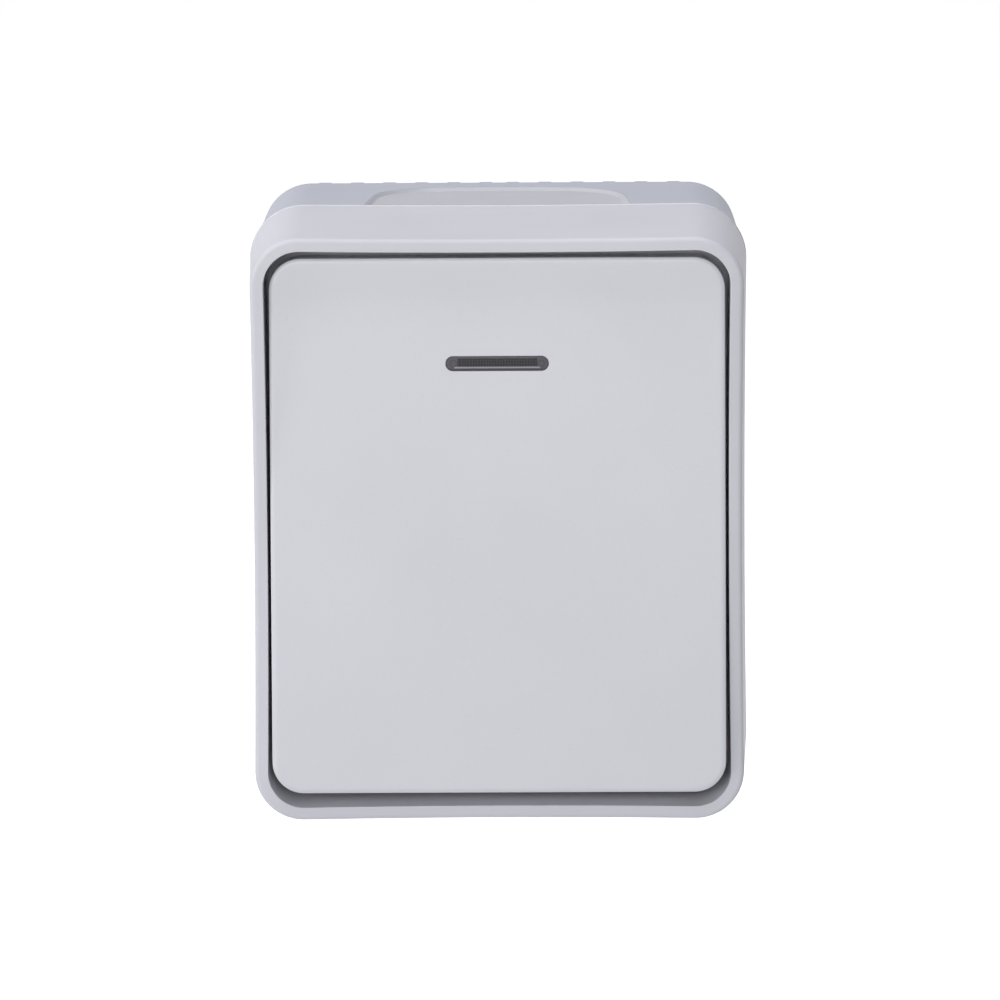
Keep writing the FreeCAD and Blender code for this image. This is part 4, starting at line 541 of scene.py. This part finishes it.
def makeIndicatorLens():
    s = lensSizes
    radius = s["tall"] / 2
    straight = s["wide"] / 2 - radius
    across = np.linspace(-1, 1, s["stepsAlong"])
    up = radius * np.sin(np.linspace(-1, 1, s["stepsUp"]) * math.pi / 2)
    # Rows across the bar: each is as long as the stadium is wide there, the straight half plus the round end.
    halfLong = straight + np.sqrt(np.maximum(radius ** 2 - up ** 2, 0))
    x = across[None, :] * halfLong[:, None]
    z = np.repeat(up[:, None], len(across), axis=1)
    fromAxis = np.hypot(np.maximum(np.abs(x) - straight, 0), z)
    nearEdge = np.clip((radius - fromAxis) / s["edgeRound"], 0, 1)
    edgeFall = s["edgeRound"] * (1 - np.sqrt(1 - (1 - nearEdge) ** 2))
    # The guide is cut into dark bars by bright lines: cosines to the sixth power, faded at its border.
    fade = np.clip((s["barsHalf"] - np.abs(x)) / s["fadeAlong"], 0, 1)
    fade = fade * np.clip((z - s["barsLow"]) / s["fadeUp"], 0, 1)
    fade = fade * np.clip((s["barsHigh"] - z) / s["fadeUp"], 0, 1)
    gaps = np.cos(math.pi * x / s["barPitch"]) ** 6 + 0.5 * np.cos(math.pi * z / s["barPitch"]) ** 6
    # The painted highlight along the ridge falls off evenly from its middle, and the painted shade below it as
    # a bell curve.
    line = np.clip(1 - np.abs(z - s["lineUp"]) / s["lineWide"], 0, 1)
    line = line * np.clip((s["lineHalf"] - np.abs(x)) / s["fadeAlong"], 0, 1)
    paintedShade = np.exp(-((z - s["shadeUp"]) / s["shadeWide"]) ** 2)
    # A moulded pin mark at each end: a ring where the distance from its middle is near its radius.
    pin = np.exp(-((np.hypot(np.abs(x) - s["pinAt"], z) - s["pinRound"]) / s["pinWide"]) ** 2)
    height = s["top"] - edgeFall + fade * s["barHigh"] * gaps + line * s["lineHigh"]
    tone = (1 - fade) * (s["endTone"] - s["pinTone"] * pin) + fade * (s["barTone"] + s["gapTone"] * gaps)
    # The ridge's line is painted in as a highlight, and the band below it as painted shade.
    tone = tone - s["paintedShadeTone"] * paintedShade + (s["paintedHighlightTone"] - tone) * line
    rows, columns = x.shape
    top = np.column_stack([x.ravel(), -height.ravel(), z.ravel()])
    index = np.arange(rows * columns).reshape(rows, columns)
    border = np.concatenate([index[0, :-1], index[:-1, -1], index[-1, :0:-1], index[:0:-1, 0]])
    points, faces = [top], gridFaces(rows, columns, False, False).tolist()
    rim = top[border]
    # The walls below are the border, grown away from the stadium's axis by an offset.
    axisX = np.clip(rim[:, 0], -straight, straight)
    away = np.column_stack([rim[:, 0] - axisX, rim[:, 2]])
    away = away / np.linalg.norm(away, axis=1)[:, None]
    previous, start = border, rows * columns
    for offset, out in [(0, s["bottom"]), (s["lip"], s["bottom"]), (s["lip"], s["bottom"] - s["lipThick"])]:
        ring = np.column_stack([axisX + away[:, 0] * (radius + offset), np.full(len(rim), -out),
                                away[:, 1] * (radius + offset)])
        current = np.arange(start, start + len(ring))
        faces += np.column_stack([previous, current, np.roll(current, -1), np.roll(previous, -1)]).tolist()
        points.append(ring)
        previous, start = current, start + len(ring)
    faces.append(previous.tolist())
    points = np.concatenate(points)
    tones = np.concatenate([tone.ravel(), np.full(len(points) - rows * columns, s["wallTone"])])
    points[:, 2] += s["up"]
    mesh = bpy.data.meshes.new("indicatorLensBar")
    placed = turnOnPivot(points, rockerSizes["tilt"], rockerSizes["pivotOut"]) * mm
    mesh.from_pydata(placed.tolist(), [], faces)
    attribute = mesh.attributes.new("lensTone", "FLOAT", "POINT")
    attribute.data.foreach_set("value", tones.astype(np.float32))
    cleanMesh(mesh, 0.0001)
    piece = bpy.data.objects.new("indicatorLensBar", mesh)
    bpy.context.scene.collection.objects.link(piece)
    return finishPiece(piece, "rocker", ["indicator_lens"], smokedLens, 55.0)


makeIndicatorLens()
print("stage: indicator lens made")


# Cable entries: a soft dished plate in the box's top and bottom wall, with a plug through the hatch.
entrySizes = {
    "footHalf": 19.7, "footOut": 27.0, "cornerX": 8.5, "cornerOut": 16.0, "corner": 10.0, "bow": 100.0,
    "frontOut": 25.95, "face": 42.7267, "seat": 41.0767,
    "dish": 0.5, "rim": 0.08, "slope": 0.62, "edge": 0.04,
    "plugWide": 25.9, "plugTall": 12.9, "plugCorner": 3.0, "plugOut": 14.6, "inner": 39.0, "sink": 0.02,
    "lip": 1.2, "nipple": 5.4, "nippleWall": 0.9, "nippleLong": 3.6, "nippleRound": 0.2,
}


def entryOutline(inset, steps=24):
    # Open outline from the front end on the right, round the rear, to the front end on the left: a leaning
    # side, a corner arc, half of the bowed rear edge, and the same mirrored. Points are (across, out).
    s = entrySizes
    corner, bow = s["corner"] - inset, s["bow"] - inset
    footX = s["footHalf"] - inset
    reach = np.array([footX - s["cornerX"], s["cornerOut"] - s["footOut"]])
    away = np.hypot(*reach)
    start = math.atan2(reach[1], reach[0]) + math.acos(corner / away)
    drop = math.sqrt((bow - corner) ** 2 - s["cornerX"] ** 2)
    finish = math.atan2(drop, s["cornerX"])
    turn = np.linspace(start, finish, steps)
    arc = np.column_stack([s["cornerX"] + corner * np.cos(turn), s["cornerOut"] - corner * np.sin(turn)])
    share = (s["frontOut"] - s["footOut"]) / (arc[0, 1] - s["footOut"])
    foot = np.array([footX + share * (arc[0, 0] - footX), s["frontOut"]])
    side = foot + (arc[0] - foot) * np.linspace(0, 1, 10)[:-1, None]
    turn = np.linspace(finish, math.pi / 2, 14)[1:]
    rear = np.column_stack([bow * np.cos(turn), s["cornerOut"] + drop - bow * np.sin(turn)])
    right = np.concatenate([side, arc, rear])
    left = right[-2::-1] * np.array([-1, 1])
    return np.concatenate([right, left])


def makeCableEntry(name, node, sign):
    # A fan of rows from the middle of the front edge: the dish's floor and slope, the rim, the plate's wall
    # and its seat. The plug is two prisms, and the nipple is a profile turned about the plug's middle.
    s = entrySizes
    pole = np.array([0.0, s["frontOut"]])
    flat = entryOutline(s["rim"] + s["slope"])
    rows = [(pole + (flat - pole) * share, s["face"] - s["dish"]) for share in (0.0, 0.35, 0.7, 0.9)]
    # Down the dish the height eases from the rim to the floor by the smooth step 3t*t - 2t*t*t.
    for t in np.linspace(1, 0, 12):
        ease = t * t * (3 - 2 * t)
        rows.append((entryOutline(s["rim"] + s["slope"] * t), s["face"] - s["dish"] * ease))
    for inset, fall in arcRun((s["edge"], -s["edge"]), s["edge"], 90, 180, 4):
        rows.append((entryOutline(inset), s["face"] + fall))
    rows.append((entryOutline(0.0), s["seat"]))
    rows += [(pole + (entryOutline(0.0) - pole) * share, s["seat"]) for share in (0.5, 0.0)]
    points = np.concatenate([np.column_stack([row[:, 0], -row[:, 1], np.full(len(row), up)])
                             for row, up in rows])
    faces = gridFaces(len(rows), len(flat), False, False).tolist()
    shapes = [(points, faces)]
    plugs = [(s["plugWide"], s["plugTall"], s["plugCorner"], s["inner"], s["seat"] + s["sink"]),
             (s["plugWide"] + 2 * s["lip"], s["plugTall"] + 2 * s["lip"], s["plugCorner"] + s["lip"],
              s["inner"] - s["lip"], s["inner"])]
    for wide, tall, corner, low, high in plugs:
        outline = boxOutline(wide, tall, corner, centre=(0, s["plugOut"]))
        corners = np.column_stack([outline[:, 0], -outline[:, 1]])
        shapes.append(prism(corners, 2, low, high))
    turn = np.linspace(0, 2 * math.pi, 48, endpoint=False)
    tip, top = s["inner"] - s["lip"] - s["nippleLong"], s["inner"] - s["lip"]
    bore = s["nipple"] - s["nippleWall"]
    profile = [(bore, top), (bore, tip), (s["nipple"] - s["nippleRound"], tip),
               (s["nipple"], tip + s["nippleRound"]), (s["nipple"], top)]
    points = np.concatenate([np.column_stack([radius * np.cos(turn), -s["plugOut"] + radius * np.sin(turn),
                                              np.full(len(turn), up)]) for radius, up in profile])
    shapes.append((points, gridFaces(len(profile), len(turn), True, True).tolist()))
    points, faces = joinShapes(shapes)
    points[:, 0] *= sign
    points[:, 2] *= sign
    piece = makePiece(name, points, faces)
    work = bmesh.new()
    work.from_mesh(piece.data)
    bmesh.ops.holes_fill(work, edges=[edge for edge in work.edges if edge.is_boundary], sides=0)
    bmesh.ops.recalc_face_normals(work, faces=work.faces)
    work.to_mesh(piece.data)
    work.free()
    return finishPiece(piece, "housing", [node], entryElastomer)


makeCableEntry("topEntryPlate", "top_cable_entry", 1)
makeCableEntry("bottomEntryPlate", "bottom_cable_entry", -1)
print("stage: cable entries made")


# Rear box: the moulded shell, with its edges broken and its tessellated curves shaded smooth.
boxSizes = {"mergeAt": 0.001, "edge": 0.12, "edgeAngle": 35.0, "sharpAngle": 30.0}


def makeRearBox():
    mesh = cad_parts["rear_box"].data.copy()
    mesh.name = "rearBoxShell"
    cleanMesh(mesh, boxSizes["mergeAt"], flatten=True)
    piece = bpy.data.objects.new("rearBoxShell", mesh)
    bpy.context.scene.collection.objects.link(piece)
    bevel = piece.modifiers.new("brokenEdges", "BEVEL")
    bevel.width = boxSizes["edge"] * mm
    bevel.segments = 2
    bevel.limit_method = "ANGLE"
    bevel.angle_limit = math.radians(boxSizes["edgeAngle"])
    bevel.use_clamp_overlap = True
    return finishPiece(piece, "housing", ["rear_box"], boxAsa, boxSizes["sharpAngle"])


makeRearBox()
print("stage: rear box made")


# The pieces inside keep their frame meshes and take the finish of what they are made of.
innerFinishes = {
    sealRubber: ["box_gasket", "splash_seal"],
    zincSteel: ["support_strap", "strap_screws", "terminal_clamps", "terminal_screws", "lamp_leads",
                "earth_screw", "pivot_pins", "snap_spring"],
    nylonWhite: ["mechanism_body", "rocker_cradle", "spring_plunger", "lamp_holder"],
    polyesterDark: ["mechanism_cover"],
    stampedBrass: ["common_contact", "upper_contact", "lower_contact", "neutral_strip", "earth_terminal",
                   "contact_lever", "contact_tips"],
    lampGlass: ["indicator_lamp"],
}
for material, names in innerFinishes.items():
    for name in names:
        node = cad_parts[name]
        node.data.materials.clear()
        node.data.materials.append(material)
print("stage: inner pieces finished")


# Floor, lights and camera. Places are in metres; the softboxes look at the aim and the camera at its own.
studio = {
    "floorDrop": 60.0, "floorWide": 9.0, "floorColour": "#d9d9dd", "floorGlow": 0.9,
    "worldColour": "#f5f6fa", "worldLevel": 0.03,
    "aim": (0.0, -0.04, 0.0),
    "cameraAt": (0.009111, -1.11216, 0.195083), "cameraAim": (0.000293, -0.054, 0.004473),
    "cameraRoll": -0.337, "lens": 272.12, "sensor": 36.0, "clipStart": 0.05,
}
softboxes = {
    "left": {"at": (-1.0, -0.2, 0.12), "wide": 0.5, "watts": 3.0, "colour": "#ffffff"},
    "top": {"at": (0.0, -0.1, 1.1), "wide": 0.7, "watts": 7.0, "colour": "#f8f8ff"},
    "topLeft": {"at": (-0.75, -0.1, 0.95), "wide": 0.5, "watts": 3.0, "colour": "#f8f8ff"},
    "topFront": {"at": (0.1, -0.75, 0.95), "wide": 0.6, "watts": 0.8, "colour": "#ffffff"},
    "front": {"at": (-0.1, -1.5, 0.36), "wide": 0.5, "watts": 6.2, "colour": "#ffffff"},
    "low": {"at": (-0.62, -1.5, 0.1), "wide": 0.7, "watts": 7.1, "colour": "#ffffff"},
    "right": {"at": (1.0, -0.5, 0.1), "wide": 0.5, "watts": 0.6, "colour": "#f8f8ff"},
}


def whenSeen(tree):
    # 1 for rays that come straight from the camera or from a mirror or clear surface, otherwise 0.
    path = addNode(tree, "ShaderNodeLightPath")
    seen = addNode(tree, "ShaderNodeMath", {"operation": "ADD", "use_clamp": True},
                   {0: path.outputs["Is Camera Ray"], 1: path.outputs["Is Glossy Ray"]})
    seen = addNode(tree, "ShaderNodeMath", {"operation": "ADD", "use_clamp": True},
                   {0: seen.outputs["Value"], 1: path.outputs["Is Transmission Ray"]})
    return seen.outputs["Value"]


def makeFloor():
    # Pale paper that is lit by the softboxes and shines softly where the camera or a mirror sees it.
    size = studio["floorWide"] / 2
    level = cadBox[0][2] - studio["floorDrop"] * mm
    mesh = bpy.data.meshes.new("studioFloor")
    mesh.from_pydata([(-size, -size, level), (size, -size, level), (size, size, level), (-size, size, level)],
                     [], [(0, 1, 2, 3)])
    floor = bpy.data.objects.new("studioFloor", mesh)
    bpy.context.scene.collection.objects.link(floor)
    material = bpy.data.materials.new("paperFloor")
    material.use_nodes = True
    tree = material.node_tree
    tree.nodes.clear()
    paper = addNode(tree, "ShaderNodeBsdfDiffuse", {"Color": hexToLinear(studio["floorColour"])})
    glow = addNode(tree, "ShaderNodeMath", {"operation": "MULTIPLY", 1: studio["floorGlow"]},
                   {0: whenSeen(tree)})
    light = addNode(tree, "ShaderNodeEmission", links={"Strength": glow.outputs["Value"]})
    both = addNode(tree, "ShaderNodeAddShader", links={0: paper.outputs["BSDF"], 1: light.outputs["Emission"]})
    addNode(tree, "ShaderNodeOutputMaterial", links={"Surface": both.outputs["Shader"]})
    mesh.materials.append(material)


def makeWorld():
    # White to the camera and in reflections, and a faint fill light on the object.
    world = bpy.data.worlds.new("studioWorld")
    bpy.context.scene.world = world
    world.use_nodes = True
    tree = world.node_tree
    tree.nodes.clear()
    seen = whenSeen(tree)
    level = addNode(tree, "ShaderNodeMapRange", {"To Min": studio["worldLevel"], "To Max": 1.0},
                    {"Value": seen})
    sky = addNode(tree, "ShaderNodeBackground", {"Color": hexToLinear(studio["worldColour"])},
                  {"Strength": level.outputs["Result"]})
    addNode(tree, "ShaderNodeOutputWorld", links={"Surface": sky.outputs["Background"]})


def makeSoftbox(name, box):
    # A square area lamp that faces the aim.
    lamp = bpy.data.lights.new(name, "AREA")
    lamp.shape = "SQUARE"
    lamp.size = box["wide"]
    lamp.energy = box["watts"]
    lamp.color = hexToLinear(box["colour"])[:3]
    holder = bpy.data.objects.new(name, lamp)
    bpy.context.scene.collection.objects.link(holder)
    holder.location = box["at"]
    holder.rotation_euler = (Vector(studio["aim"]) - Vector(box["at"])).to_track_quat("-Z", "Y").to_euler()


def makeCamera():
    # Looks from its place at its aim, then rolls about the line of sight.
    camera = bpy.data.objects.new("photoCamera", bpy.data.cameras.new("photoCamera"))
    bpy.context.scene.collection.objects.link(camera)
    camera.data.lens = studio["lens"]
    camera.data.sensor_width = studio["sensor"]
    camera.data.clip_start = studio["clipStart"]
    ahead = (Vector(studio["cameraAim"]) - Vector(studio["cameraAt"])).normalized()
    right = ahead.cross(Vector((0, 0, 1))).normalized()
    roll = math.radians(studio["cameraRoll"])
    right = right * math.cos(roll) + right.cross(ahead) * math.sin(roll)
    axes = Matrix((right, right.cross(ahead), -ahead)).transposed().to_4x4()
    camera.matrix_world = Matrix.Translation(studio["cameraAt"]) @ axes
    bpy.context.scene.camera = camera


makeFloor()
makeWorld()
for name, box in softboxes.items():
    makeSoftbox(name + "Softbox", box)
makeCamera()
bpy.context.scene.view_settings.view_transform = "Standard"
print("stage: floor, lights and camera made")
